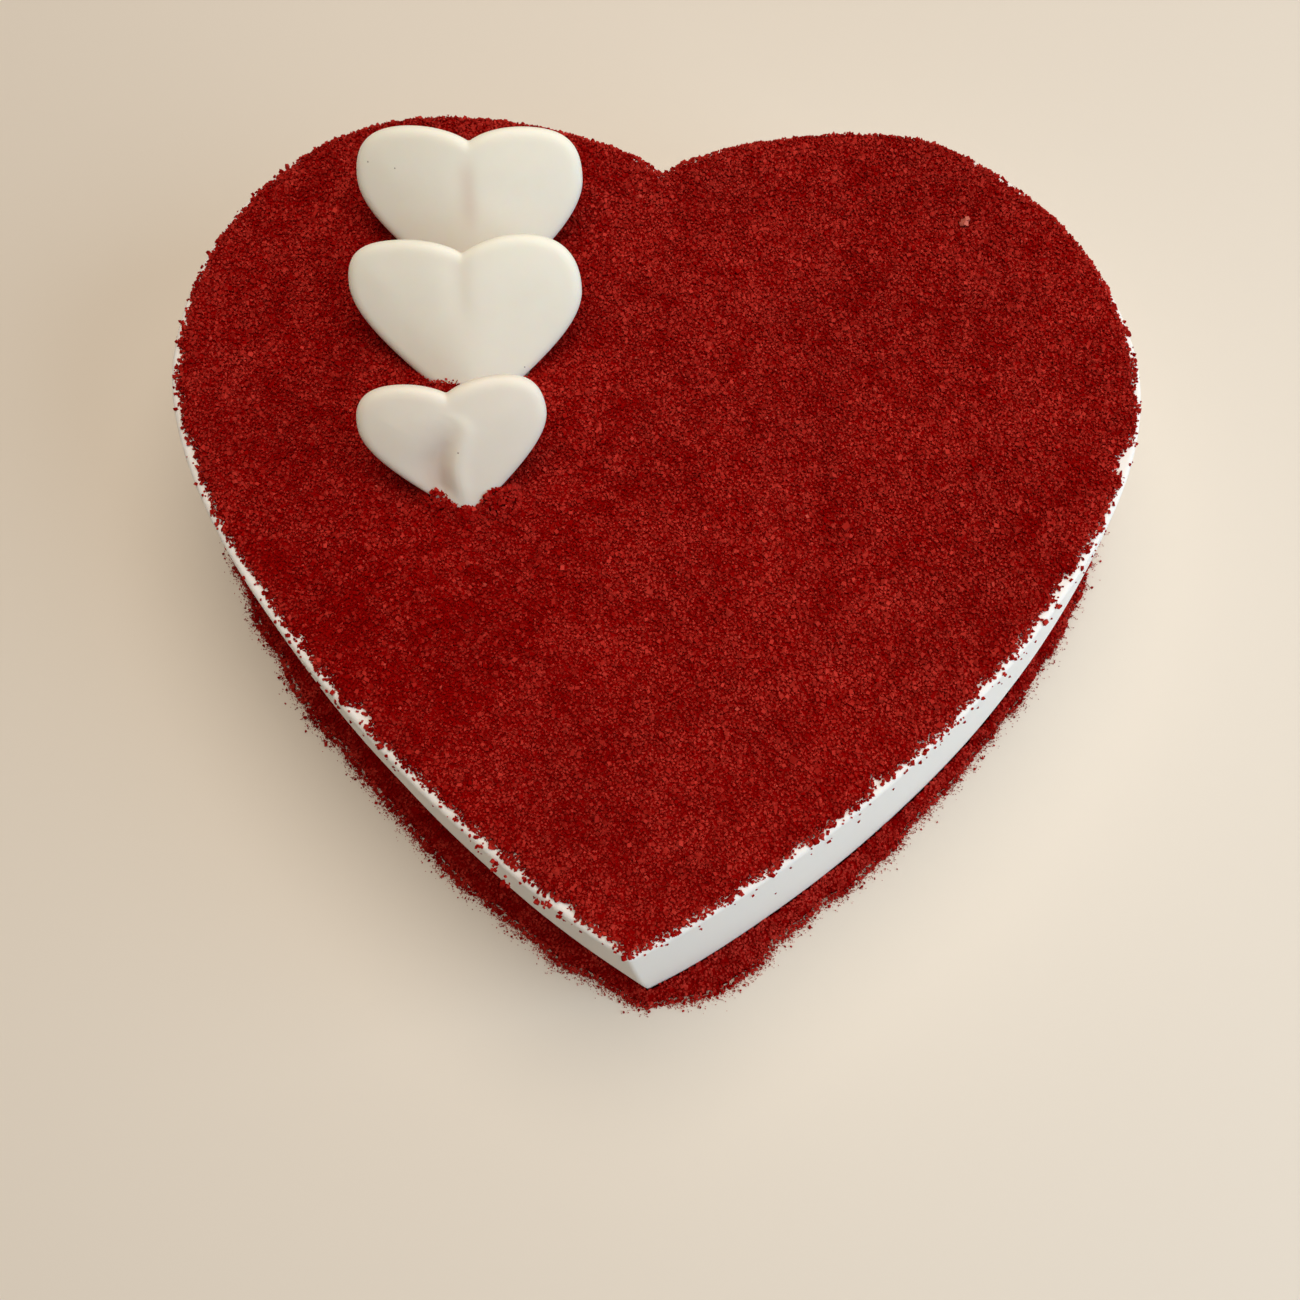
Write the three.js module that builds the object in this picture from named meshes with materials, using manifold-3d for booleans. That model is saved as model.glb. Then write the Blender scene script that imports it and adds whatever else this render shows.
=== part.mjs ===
// A heart-shaped celebration cake. A body coated in smooth white cream carries a layer of fine red cake
// crumbs on its top, a low heap of the same crumbs hugs its foot, and three white sugar-paste hearts
// stand in the top, one behind the other. Millimetres, +Z up, tip of the heart towards -Y.
import * as THREE from 'three';
import { mergeVertices } from 'three/addons/utils/BufferGeometryUtils.js';
import Module from 'manifold-3d';

const wasm = await Module();
wasm.setup();

const rad = THREE.MathUtils.degToRad;

// The cream-coated cake.
const CREAM_HEIGHT = 60.2;
const RIM_RADIUS = 1.5;
const RIM_TURN_STEPS = 3;
const FOOT_FLARE = 6.5;
const TOP_FLARE = 1.8;
const WALL_BULGE = 0.8;
const WALL_STEPS = 4;
const FOOT_SHIFT = 1.4;
const TIP_LEAN = 1.2;
const TIP_LEAN_REACH = 18;
const WALL_POINTS = 64;

// The crumbs on top. Real crumbs are about 1 mm across, so the bumps here are wider than they are.
const CRUMB_DEPTH = 1.9;
const CRUMB_GRID = 3.5;
const CRUMB_BUMP = 0.48;
const CRUMB_JITTER = 0.3;
// Soft swells of the layer: how high, and each one's length, direction in degrees and start.
const CRUMB_SWELL = 0.28;
const CRUMB_SWELLS = [
  { length: 64, direction: 12, start: 0.4 },
  { length: 75, direction: 98, start: 1.9 },
  { length: 47, direction: 52, start: 3.1 },
  { length: 33, direction: 141, start: 5.0 },
];
// The bank of crumbs where a heart enters them.
const CRUMB_BANK = 0.9;
const CRUMB_BANK_REACH = 5.5;
const CRUMB_BANK_WIDTH = 1.6;
const CRUMB_BANK_FORWARD = 3;
// The ragged edge of the layer, which thins towards it and has a shallow bite every few centimetres.
const CRUMB_EDGE_DEPTH = 1.4;
const CRUMB_EDGE_FADE = 4.5;
const CRUMB_EDGE_POINTS = 112;
const CRUMB_EDGE_RAGGED = 1.0;
const CRUMB_EDGE_SPREAD = 0.5;
const CRUMB_BITE = 1.1;
const CRUMB_BITE_LENGTH = 21.6;
const CRUMB_BITE_GROUP = 58;
const CRUMB_NOTCH_POINTS = 2;

// The crumbs round the foot. Widths are measured outwards from the wall, at distances along the
// outline from the tip.
const FOOT_HEAP_HEIGHT = 3.3;
const FOOT_HEAP_POINTS = 112;
const FOOT_HEAP_EDGE = { share: 0.93, height: 0.9, bump: 0.5 };
const FOOT_HEAP_SLOPE = { share: 0.5, height: 2.4, bump: 1 };
const FOOT_HEAP_RAGGED = 1.0;
const FOOT_HEAP_BUMP = 0.45;
const FOOT_HEAP_CLUMP = 20;
const FOOT_HEAP_CLUMP_GROUP = 78;
const FOOT_HEAP_CROWDED = 0.2;
const FOOT_HEAP_WIDTH_RIGHT = [
  [0, 4.4], [16, 9.0], [24, 8.6], [34, 6.0], [60, 6.0], [80, 4.3], [115, 3.3], [210, 3.8], [330, 4.2],
];
const FOOT_HEAP_WIDTH_LEFT = [
  [0, 4.4], [20, 6.4], [55, 7.6], [80, 6.6], [100, 7.4], [140, 6.6], [165, 4.8], [210, 3.8], [330, 4.2],
];

// Room left round a piece that is sunk in another.
const CLEARANCE = 0.3;

// Half a heart, drawn from the notch over the lobe to the widest point and down the flank to the tip.
// Each "reach" is how far the curve follows its direction at that point before it turns.
const CAKE_RIGHT = {
  notchY: 65.5, notchRise: 44, notchReach: 11,
  lobeX: 50.4, lobeY: 77.0, lobeReachIn: 20, lobeReachOut: 27.6,
  wideX: 106.4, wideY: 14.9, wideReachUp: 29, wideReachDown: 43,
  tipY: -111.3, tipHalfAngle: 62, tipReach: 52,
};
const CAKE_LEFT = {
  ...CAKE_RIGHT,
  lobeX: 52.0, lobeY: 79.7, lobeReachOut: 33.5,
  wideX: 108.7, wideY: 17.9, wideReachUp: 35.2, wideReachDown: 42.4,
  tipHalfAngle: 60, tipReach: 50.6,
};

// A sugar-paste heart, from its tip at the origin, at the size of the two large ones.
const PLAQUE = {
  notchY: 38.2, notchRise: 35, notchReach: 3.5,
  lobeX: 14.2, lobeY: 42.1, lobeReachIn: 6, lobeReachOut: 7.4,
  wideX: 25.3, wideY: 31.5, wideReachUp: 7.4, wideReachDown: 10,
  tipY: 0, tipHalfAngle: 40, tipReach: 11,
};
// The middle heart's left half was pressed a little wider and lower, and its right half stands higher.
const MIDDLE_LEFT = { ...PLAQUE, lobeX: 14.6, lobeY: 41.7, wideX: 26.1, wideY: 33.0 };
const MIDDLE_RIGHT = { ...PLAQUE, lobeY: 42.7 };
// The notch of the back heart lies right of its middle and a little deeper.
const BACK_LEFT = { ...PLAQUE, notchY: 37.8, lobeX: 15.0, lobeY: 41.6, wideX: 26.3 };
const BACK_RIGHT = { ...PLAQUE, notchY: 37.8, lobeX: 13.8, lobeY: 41.4, wideX: 24.3 };
const PLAQUE_THICKNESS = 3.2;
const PLAQUE_EDGE_RADIUS = 1.4;
const PLAQUE_CROWN = 0.5;
const PLAQUE_RIDGE_WIDTH = 3.5;
const PLAQUE_POINTS = 18;
const PLAQUE_MIDDLE = 25.3;
const PLAQUE_BACK_SHARE = 0.55;
const PLAQUE_FACE_SHARES = [1, 0.8, 0.5, 0.2];

// The three hearts: how large, how far each leans back from lying flat, how far it is turned in its
// own plane, where it enters the crumbs and how deep its tip is sunk, measured along it.
const PLAQUES = [
  {
    name: 'heart_back', right: BACK_RIGHT, left: BACK_LEFT, scale: 1.0, lean: 47, turn: 0.8,
    foot: [-41.0, 41.1], sunk: 12.3, ridge: 0.6,
  },
  {
    name: 'heart_middle', right: MIDDLE_RIGHT, left: MIDDLE_LEFT, scale: 0.992, lean: 45, turn: 1.9,
    foot: [-40.1, 15.2], sunk: 14.0, ridge: 0.4,
  },
  {
    name: 'heart_front', right: PLAQUE, left: PLAQUE, scale: 0.785, lean: 50, turn: 8.0,
    foot: [-37.7, -16.7], sunk: 5.4, ridge: 1.1,
  },
];

// Points taken along half an outline before it is moved and spaced evenly.
const OUTLINE_FINE = 160;

const CREAM_COLOUR = '#f1eee9';
const CRUMB_COLOUR = '#8e130c';
const SUGAR_COLOUR = '#e6e0d2';

// A repeatable run of numbers between 0 and 1.
function seeded(seed) {
  let state = seed;
  return () => {
    state = (state * 1664525 + 1013904223) % 4294967296;
    return state / 4294967296;
  };
}

// A height or width between named stops, eased from one to the next.
function alongStops(stops, distance) {
  let value = stops[0][1];
  for (let i = 1; i < stops.length; i += 1) {
    const [from, low] = stops[i - 1];
    const [to, high] = stops[i];
    if (distance > from) {
      value = low + (high - low) * THREE.MathUtils.smoothstep(distance, from, to);
    }
  }
  return value;
}

function halfPath(half) {
  const path = new THREE.Path();
  path.moveTo(0, half.notchY);
  path.bezierCurveTo(
    half.notchReach * Math.cos(rad(half.notchRise)),
    half.notchY + half.notchReach * Math.sin(rad(half.notchRise)),
    half.lobeX - half.lobeReachIn, half.lobeY,
    half.lobeX, half.lobeY,
  );
  path.bezierCurveTo(
    half.lobeX + half.lobeReachOut, half.lobeY,
    half.wideX, half.wideY + half.wideReachUp,
    half.wideX, half.wideY,
  );
  path.bezierCurveTo(
    half.wideX, half.wideY - half.wideReachDown,
    half.tipReach * Math.sin(rad(half.tipHalfAngle)),
    half.tipY + half.tipReach * Math.cos(rad(half.tipHalfAngle)),
    0, half.tipY,
  );
  return path;
}

// Drops points past the heart's axis and ends the run on the axis itself.
function startOnAxis(points) {
  const run = [...points];
  while (run.length > 2 && run[1].x <= 0) {
    run.shift();
  }
  const [first, second] = run;
  const share = first.x / (first.x - second.x);
  run[0] = first.clone().lerp(second, share);
  return run;
}

// One half of an outline moved outwards, as evenly spaced points from the notch to the tip.
function halfRing(path, outward, steps) {
  const moved = [];
  for (let i = 0; i <= OUTLINE_FINE; i += 1) {
    const point = path.getPointAt(i / OUTLINE_FINE);
    const along = path.getTangentAt(i / OUTLINE_FINE);
    moved.push(new THREE.Vector2(point.x - along.y * outward, point.y + along.x * outward));
  }
  const trimmed = startOnAxis(startOnAxis(moved).reverse()).reverse();
  const curve = new THREE.SplineCurve(trimmed);
  curve.arcLengthDivisions = 2 * OUTLINE_FINE;
  return curve.getSpacedPoints(steps);
}

// A whole heart outline, anticlockwise seen from above, starting at the tip.
function heartRing(right, left, outward, steps) {
  const rightRun = halfRing(right, outward, steps).reverse();
  const leftRun = halfRing(left, outward, steps).map((point) => new THREE.Vector2(-point.x, point.y));
  return [...rightRun, ...leftRun.slice(1, -1)];
}

// The outward direction at each point of a closed anticlockwise ring.
function ringNormals(ring) {
  return ring.map((point, i) => {
    const next = ring[(i + 1) % ring.length];
    const last = ring[(i + ring.length - 1) % ring.length];
    return new THREE.Vector2(next.y - last.y, last.x - next.x).normalize();
  });
}

function atHeight(ring, height) {
  return ring.map((point) => new THREE.Vector3(point.x, point.y, height));
}

// Joins rings with the same number of points by bands of triangles, and closes the ends.
function stackedRings(rings, endsMeet) {
  const count = rings[0].length;
  const positions = rings.flat().flatMap((point) => [point.x, point.y, point.z]);
  const faces = [];
  const bands = endsMeet ? rings.length : rings.length - 1;
  for (let band = 0; band < bands; band += 1) {
    const low = band * count;
    const high = ((band + 1) % rings.length) * count;
    for (let i = 0; i < count; i += 1) {
      const next = (i + 1) % count;
      faces.push(low + i, low + next, high + next, low + i, high + next, high + i);
    }
  }
  if (!endsMeet) {
    const top = (rings.length - 1) * count;
    for (const [a, b, c] of THREE.ShapeUtils.triangulateShape(rings[0], [])) {
      faces.push(a, c, b);
    }
    for (const [a, b, c] of THREE.ShapeUtils.triangulateShape(rings[rings.length - 1], [])) {
      faces.push(top + a, top + b, top + c);
    }
  }
  const geometry = new THREE.BufferGeometry();
  geometry.setAttribute('position', new THREE.Float32BufferAttribute(positions, 3));
  geometry.setIndex(faces);
  return geometry;
}

function toSolid(geometry) {
  const bare = geometry.clone();
  bare.deleteAttribute('normal');
  bare.deleteAttribute('uv');
  const merged = mergeVertices(bare, 1e-5);
  return new wasm.Manifold(new wasm.Mesh({
    numProp: 3,
    vertProperties: new Float32Array(merged.attributes.position.array),
    triVerts: new Uint32Array(merged.index.array),
  }));
}

function toGeometry(solid) {
  const { numProp, vertProperties, triVerts } = solid.getMesh();
  const positions = new Float32Array((vertProperties.length / numProp) * 3);
  for (let i = 0; i < positions.length / 3; i += 1) {
    positions.set(vertProperties.subarray(i * numProp, i * numProp + 3), i * 3);
  }
  const geometry = new THREE.BufferGeometry();
  geometry.setAttribute('position', new THREE.Float32BufferAttribute(positions, 3));
  geometry.setIndex(new THREE.BufferAttribute(new Uint32Array(triVerts), 1));
  return geometry;
}

const cakeRight = halfPath(CAKE_RIGHT);
const cakeLeft = halfPath(CAKE_LEFT);
const halfLength = Math.max(cakeRight.getLength(), cakeLeft.getLength());

// How far the wall stands outside the edge of the crumb layer at a height.
function wallFlare(height) {
  const wallHeight = CREAM_HEIGHT - RIM_RADIUS;
  const up = height / wallHeight;
  return FOOT_FLARE + (TOP_FLARE - FOOT_FLARE) * up + WALL_BULGE * Math.sin(Math.PI * up);
}

// The wall leans a little to the left as it rises, and most of all at the tip.
function wallShift(point, height) {
  const fromTip = Math.hypot(point.x, point.y - CAKE_RIGHT.tipY) / TIP_LEAN_REACH;
  return (FOOT_SHIFT + TIP_LEAN * Math.exp(-fromTip * fromTip)) * (1 - height / CREAM_HEIGHT);
}

function shiftRing(ring, height) {
  return ring.map((point) => new THREE.Vector2(point.x + wallShift(point, height), point.y));
}

function wallRing(height, extra, steps) {
  return shiftRing(heartRing(cakeRight, cakeLeft, wallFlare(height) + extra, steps), height);
}

// A heart of sugar paste lies in the XY plane with its tip at the origin and its face towards +Z.
function plaqueGeometry(plaque, grow) {
  const middle = new THREE.Vector2(0, PLAQUE_MIDDLE);
  const outline = heartRing(halfPath(plaque.right), halfPath(plaque.left), 0, PLAQUE_POINTS);
  const slack = grow / plaque.scale;
  const halfThick = PLAQUE_THICKNESS / 2 / plaque.scale;
  const radius = PLAQUE_EDGE_RADIUS / plaque.scale;
  const ring = (inset, share, height) => outline.map((point) => {
    const arm = point.clone().sub(middle);
    arm.setLength(share * (arm.length() - inset + slack));
    const away = arm.x / PLAQUE_RIDGE_WIDTH;
    const ridge = plaque.ridge * (1 - share) * Math.exp(-away * away);
    const crown = height > 0 ? PLAQUE_CROWN * (1 - share * share) + ridge : 0;
    const place = middle.clone().add(arm);
    return new THREE.Vector3(place.x, place.y, height + Math.sign(height) * slack + crown);
  });
  const corner = radius * (1 - Math.SQRT1_2);
  const rings = [
    ring(radius, PLAQUE_BACK_SHARE, -halfThick),
    ring(radius, 1, -halfThick),
    ring(corner, 1, corner - halfThick),
    ring(0, 1, 0),
    ring(corner, 1, halfThick - corner),
    ...PLAQUE_FACE_SHARES.map((share) => ring(radius, share, halfThick)),
  ];
  return stackedRings(rings, false).scale(plaque.scale, plaque.scale, plaque.scale);
}

function placePlaque(mesh, plaque) {
  const crumbSurface = CREAM_HEIGHT + CRUMB_DEPTH;
  const lean = rad(plaque.lean);
  mesh.rotation.set(lean, 0, rad(plaque.turn));
  mesh.position.set(
    plaque.foot[0],
    plaque.foot[1] - plaque.sunk * Math.cos(lean),
    crumbSurface - plaque.sunk * Math.sin(lean),
  );
  mesh.updateMatrix();
}

function plaqueMesh(plaque) {
  const mesh = new THREE.Mesh(plaqueGeometry(plaque, 0));
  placePlaque(mesh, plaque);
  return mesh;
}

// The pocket that a heart is pushed into, a little larger all round than the heart itself.
function plaquePocket(plaque) {
  const mesh = new THREE.Mesh(plaqueGeometry(plaque, CLEARANCE));
  placePlaque(mesh, plaque);
  return toSolid(mesh.geometry.applyMatrix4(mesh.matrix));
}

function creamBody() {
  const wallHeight = CREAM_HEIGHT - RIM_RADIUS;
  const rings = [];
  for (let i = 0; i <= WALL_STEPS; i += 1) {
    const height = wallHeight * (i / WALL_STEPS);
    rings.push(atHeight(wallRing(height, 0, WALL_POINTS), height));
  }
  for (let i = 1; i <= RIM_TURN_STEPS; i += 1) {
    const turn = (Math.PI / 2) * (i / RIM_TURN_STEPS);
    const inset = RIM_RADIUS * (1 - Math.cos(turn));
    const height = wallHeight + RIM_RADIUS * Math.sin(turn);
    rings.push(atHeight(shiftRing(
      heartRing(cakeRight, cakeLeft, wallFlare(wallHeight) - inset, WALL_POINTS),
      height,
    ), height));
  }
  return toSolid(stackedRings(rings, false));
}

// A wave of one length whose height itself comes and goes over a longer one.
function groupedWave(distance, length, group) {
  return Math.sin((2 * Math.PI * distance) / length) * Math.sin((2 * Math.PI * distance) / group + 1);
}

// The uneven outline of the crumb layer. It is whole in the notch, where the crumbs run over the rim.
function crumbEdge() {
  const random = seeded(11);
  const step = halfLength / CRUMB_EDGE_POINTS;
  const ring = heartRing(cakeRight, cakeLeft, 0, CRUMB_EDGE_POINTS);
  const normals = ringNormals(ring);
  return ring.map((point, i) => {
    const bite = Math.max(0, groupedWave(i * step, CRUMB_BITE_LENGTH, CRUMB_BITE_GROUP));
    const ragged = CRUMB_EDGE_RAGGED * (2 * random() - 1) - CRUMB_BITE * bite;
    const atNotch = Math.abs(i - CRUMB_EDGE_POINTS) <= CRUMB_NOTCH_POINTS;
    return point.clone().addScaledVector(normals[i], CRUMB_EDGE_SPREAD + (atNotch ? 0 : ragged));
  });
}

function edgeDistance(edge, x, y) {
  let nearest = Infinity;
  for (const point of edge) {
    nearest = Math.min(nearest, Math.hypot(point.x - x, point.y - y));
  }
  return nearest;
}

// The crumbs lie in soft swells a few centimetres long, and bank up where a heart enters them.
function crumbSwell(x, y) {
  let height = 0;
  for (const swell of CRUMB_SWELLS) {
    const along = x * Math.cos(rad(swell.direction)) + y * Math.sin(rad(swell.direction));
    height += CRUMB_SWELL * Math.sin((2 * Math.PI * along) / swell.length + swell.start);
  }
  for (const plaque of PLAQUES) {
    const across = (x - plaque.foot[0]) / CRUMB_BANK_WIDTH;
    const away = Math.hypot(across, y - plaque.foot[1] + CRUMB_BANK_FORWARD) / CRUMB_BANK_REACH;
    height += CRUMB_BANK * Math.exp(-away * away);
  }
  return height;
}

function crumbLayer() {
  const random = seeded(5);
  const spare = 10;
  const width = 2 * (CAKE_LEFT.wideX + spare);
  const length = CAKE_LEFT.lobeY - CAKE_LEFT.tipY + 2 * spare;
  const middleY = (CAKE_LEFT.lobeY + CAKE_LEFT.tipY) / 2;
  const slab = new THREE.BoxGeometry(
    width, length, CREAM_HEIGHT, Math.round(width / CRUMB_GRID), Math.round(length / CRUMB_GRID), 1,
  );
  slab.translate(0, middleY, CREAM_HEIGHT / 2);
  slab.deleteAttribute('normal');
  slab.deleteAttribute('uv');
  const bumpy = mergeVertices(slab);
  const edge = crumbEdge();
  const place = bumpy.attributes.position;
  for (let i = 0; i < place.count; i += 1) {
    if (place.getZ(i) > CREAM_HEIGHT / 2) {
      const x = place.getX(i) + CRUMB_GRID * CRUMB_JITTER * (2 * random() - 1);
      const y = place.getY(i) + CRUMB_GRID * CRUMB_JITTER * (2 * random() - 1);
      const inward = Math.min(1, edgeDistance(edge, x, y) / CRUMB_EDGE_FADE);
      const depth = CRUMB_EDGE_DEPTH + (CRUMB_DEPTH - CRUMB_EDGE_DEPTH) * inward;
      const rough = CRUMB_BUMP * (2 * random() - 1);
      place.setXYZ(i, x, y, CREAM_HEIGHT + depth + inward * crumbSwell(x, y) + rough);
    }
  }
  const cutter = new THREE.ExtrudeGeometry(new THREE.Shape(edge), { depth: 2 * spare, bevelEnabled: false });
  cutter.translate(0, 0, CREAM_HEIGHT);
  return toSolid(bumpy).intersect(toSolid(cutter));
}

// The crumbs heaped round the foot: highest against the wall, thinning to a ragged outer edge.
function footHeap() {
  const random = seeded(23);
  const steps = FOOT_HEAP_POINTS;
  const step = halfLength / steps;
  const wall = wallRing(0, CLEARANCE, steps);
  const normals = ringNormals(wall);
  const atCorner = (i) => i % steps === 0;
  const widths = wall.map((point, i) => {
    const stops = i <= steps ? FOOT_HEAP_WIDTH_RIGHT : FOOT_HEAP_WIDTH_LEFT;
    const width = alongStops(stops, step * Math.min(i, 2 * steps - i));
    const clump = groupedWave(i * step, FOOT_HEAP_CLUMP, FOOT_HEAP_CLUMP_GROUP);
    return width + (atCorner(i) ? 0 : FOOT_HEAP_RAGGED * (random() - 0.5 + 0.5 * clump));
  });
  const heights = wall.map(() => FOOT_HEAP_BUMP * (2 * random() - 1));
  // Points beside the notch stay on their own side of the axis.
  const section = ({ share, height, bump }) => wall.map((point, i) => {
    const spread = point.clone().addScaledVector(normals[i], share * widths[i]);
    const crossed = !atCorner(i) && point.x * spread.x < 0;
    const across = crossed ? FOOT_HEAP_CROWDED * point.x : spread.x;
    return new THREE.Vector3(across, spread.y, height + bump * heights[i]);
  });
  const againstWall = wallRing(FOOT_HEAP_HEIGHT, CLEARANCE, steps).map(
    (point, i) => new THREE.Vector3(point.x, point.y, FOOT_HEAP_HEIGHT + heights[i]),
  );
  return stackedRings([
    section({ share: 1, height: 0, bump: 0 }),
    section(FOOT_HEAP_EDGE),
    section(FOOT_HEAP_SLOPE),
    againstWall,
    section({ share: 0, height: 0, bump: 0 }),
  ], true);
}

function finish(colour, roughness) {
  return new THREE.MeshStandardMaterial({ color: colour, roughness, metalness: 0 });
}

const pockets = PLAQUES.map(plaquePocket);
const cutPockets = (solid) => pockets.reduce((left, pocket) => left.subtract(pocket), solid);

const cake = new THREE.Group();
cake.name = 'heart_cake';

function addPiece(name, mesh, material) {
  mesh.name = name;
  mesh.material = material;
  cake.add(mesh);
}

addPiece('cake_body', new THREE.Mesh(toGeometry(cutPockets(creamBody()))), finish(CREAM_COLOUR, 0.5));
addPiece('crumb_top', new THREE.Mesh(toGeometry(cutPockets(crumbLayer()))), finish(CRUMB_COLOUR, 0.9));
addPiece('crumb_foot', new THREE.Mesh(footHeap()), finish(CRUMB_COLOUR, 0.9));
for (const plaque of PLAQUES) {
  addPiece(plaque.name, plaqueMesh(plaque), finish(SUGAR_COLOUR, 0.45));
}

// The origin is at the middle of the cake's footprint, on the surface it stands on.
const footprint = new THREE.Box3().setFromObject(cake);
const middle = footprint.getCenter(new THREE.Vector3());
cake.position.set(-middle.x, -middle.y, 0);
cake.updateMatrixWorld(true);

export default cake;
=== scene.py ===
# %% [markdown]
# # A heart-shaped celebration cake
# The real cake is a sponge cut as a heart and coated in whipped cream, drawn smooth with a metal scraper.
# Dried, sieved sponge crumbs cover its top and lie heaped round its foot, and three hearts cut from rolled
# sugar paste stand in the top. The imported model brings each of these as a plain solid. This lesson dresses
# them: the cream and the hearts become smooth meshes, and the two crumb solids become beds with thousands
# of separate crumbs.

import bmesh
import bpy
import numpy as np
from mathutils import Euler, Matrix, Vector, noise
from mathutils.bvhtree import BVHTree
from mathutils.geometry import interpolate_bezier


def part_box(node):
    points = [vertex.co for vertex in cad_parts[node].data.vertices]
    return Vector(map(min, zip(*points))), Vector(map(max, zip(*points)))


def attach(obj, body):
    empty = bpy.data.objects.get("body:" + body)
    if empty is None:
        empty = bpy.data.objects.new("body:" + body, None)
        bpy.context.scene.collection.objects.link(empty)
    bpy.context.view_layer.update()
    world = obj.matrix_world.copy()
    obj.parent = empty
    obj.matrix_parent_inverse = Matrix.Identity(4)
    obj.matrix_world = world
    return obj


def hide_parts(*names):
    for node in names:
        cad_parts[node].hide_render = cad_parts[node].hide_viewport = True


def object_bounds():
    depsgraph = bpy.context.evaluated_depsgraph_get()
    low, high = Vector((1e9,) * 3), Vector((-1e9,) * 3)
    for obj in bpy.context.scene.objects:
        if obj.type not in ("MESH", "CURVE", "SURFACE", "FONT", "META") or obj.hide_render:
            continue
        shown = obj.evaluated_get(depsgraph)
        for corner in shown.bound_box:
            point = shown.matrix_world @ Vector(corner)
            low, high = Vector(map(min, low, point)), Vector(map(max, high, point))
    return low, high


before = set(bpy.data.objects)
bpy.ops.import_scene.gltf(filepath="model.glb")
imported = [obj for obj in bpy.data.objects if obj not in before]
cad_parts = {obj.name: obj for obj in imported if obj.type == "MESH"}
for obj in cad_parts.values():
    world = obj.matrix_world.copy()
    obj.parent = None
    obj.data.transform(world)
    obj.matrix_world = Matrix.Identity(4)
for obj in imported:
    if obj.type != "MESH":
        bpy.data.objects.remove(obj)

packed_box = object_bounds()
print("packed model in mm", [[round(1000 * value, 1) for value in corner] for corner in packed_box])

# %% [markdown]
# Lengths are written in millimetres, as a baker measures, and turned to metres where a mesh is made. Colours
# are sRGB hex, as a colour picker shows them, and one function makes them linear, as shaders expect.

# %% Units, colours and two helpers
MM = 0.001


def linear(hex_colour):
    """An sRGB hex colour as the linear red, green, blue and alpha that a shader expects."""
    channels = [int(hex_colour[i:i + 2], 16) / 255 for i in (1, 3, 5)]
    return [c / 12.92 if c <= 0.04045 else ((c + 0.055) / 1.055) ** 2.4 for c in channels] + [1.0]


def add_node(tree, kind, inputs=None, **settings):
    """Adds a shader node. An input is a value, an output to link from, or a node for its first output."""
    node = tree.nodes.new("ShaderNode" + kind)
    for name, value in settings.items():
        setattr(node, name, value)
    for key, value in (inputs or {}).items():
        if isinstance(value, bpy.types.Node):
            value = next(output for output in value.outputs if output.enabled)
        if isinstance(value, bpy.types.NodeSocket):
            tree.links.new(value, node.inputs[key])
        else:
            node.inputs[key].default_value = value
    return node


def add_object(name, data):
    thing = bpy.data.objects.new(name, data)
    bpy.context.scene.collection.objects.link(thing)
    return thing


# %% [markdown]
# ## The camera
# The view is that of someone at the tip of the heart, looking steeply down. Place and direction come from
# matching a camera to the rim of the cake and to its foot. The place is from the middle of the cake's foot.

# %% The camera
cake_low, cake_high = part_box("cake_body")
CAMERA_FROM_CAKE = Vector((11.17, -99.54, 316.0)) * MM
CAMERA_DIRECTION = Vector((-0.0371, 0.2529, -0.9668))
CAMERA_UP = Vector((-0.0323, 0.9667, 0.2541))
LENS = 34.615
SENSOR = 36.0

cake_foot = Vector(((cake_low.x + cake_high.x) / 2, (cake_low.y + cake_high.y) / 2, 0))
camera_data = bpy.data.cameras.new("studio_camera")
camera_data.lens = LENS
camera_data.sensor_width = SENSOR
camera = add_object("studio_camera", camera_data)
back = -CAMERA_DIRECTION.normalized()
right = CAMERA_UP.cross(back).normalized()
turn = Matrix((right, back.cross(right), back)).transposed()
camera.matrix_world = Matrix.Translation(cake_foot + CAMERA_FROM_CAKE) @ turn.to_4x4()
bpy.context.scene.camera = camera
print("camera at", [round(value, 4) for value in camera.location])

# %% [markdown]
# ## The heart outline
# One half of the heart is three Bezier curves: up out of the notch to the top of the lobe, round to the
# widest point, and down the flank to the tip. The left lobe is a little larger than the right one. The
# outline is that of the crumb layer, and the wall is this outline moved outwards.

# %% The heart outline
CAKE_RIGHT = dict(
    notch_y=65.5, notch_rise=44, notch_reach=11,
    lobe_x=50.4, lobe_y=77.0, lobe_reach_in=20, lobe_reach_out=27.6,
    wide_x=106.4, wide_y=14.9, wide_reach_up=29, wide_reach_down=43,
    tip_y=-111.3, tip_half_angle=62, tip_reach=52,
)
CAKE_LEFT = dict(
    CAKE_RIGHT,
    lobe_x=52.0, lobe_y=79.7, lobe_reach_out=33.5,
    wide_x=108.7, wide_y=17.9, wide_reach_up=35.2, wide_reach_down=42.4,
    tip_half_angle=60, tip_reach=50.6,
)
CURVE_POINTS = 80
CRUMB_LINE_STEPS = 300

# %% The outline as a line of points, and moved outwards


def direction(degrees):
    angle = np.radians(degrees)
    return Vector((np.cos(angle), np.sin(angle)))


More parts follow.
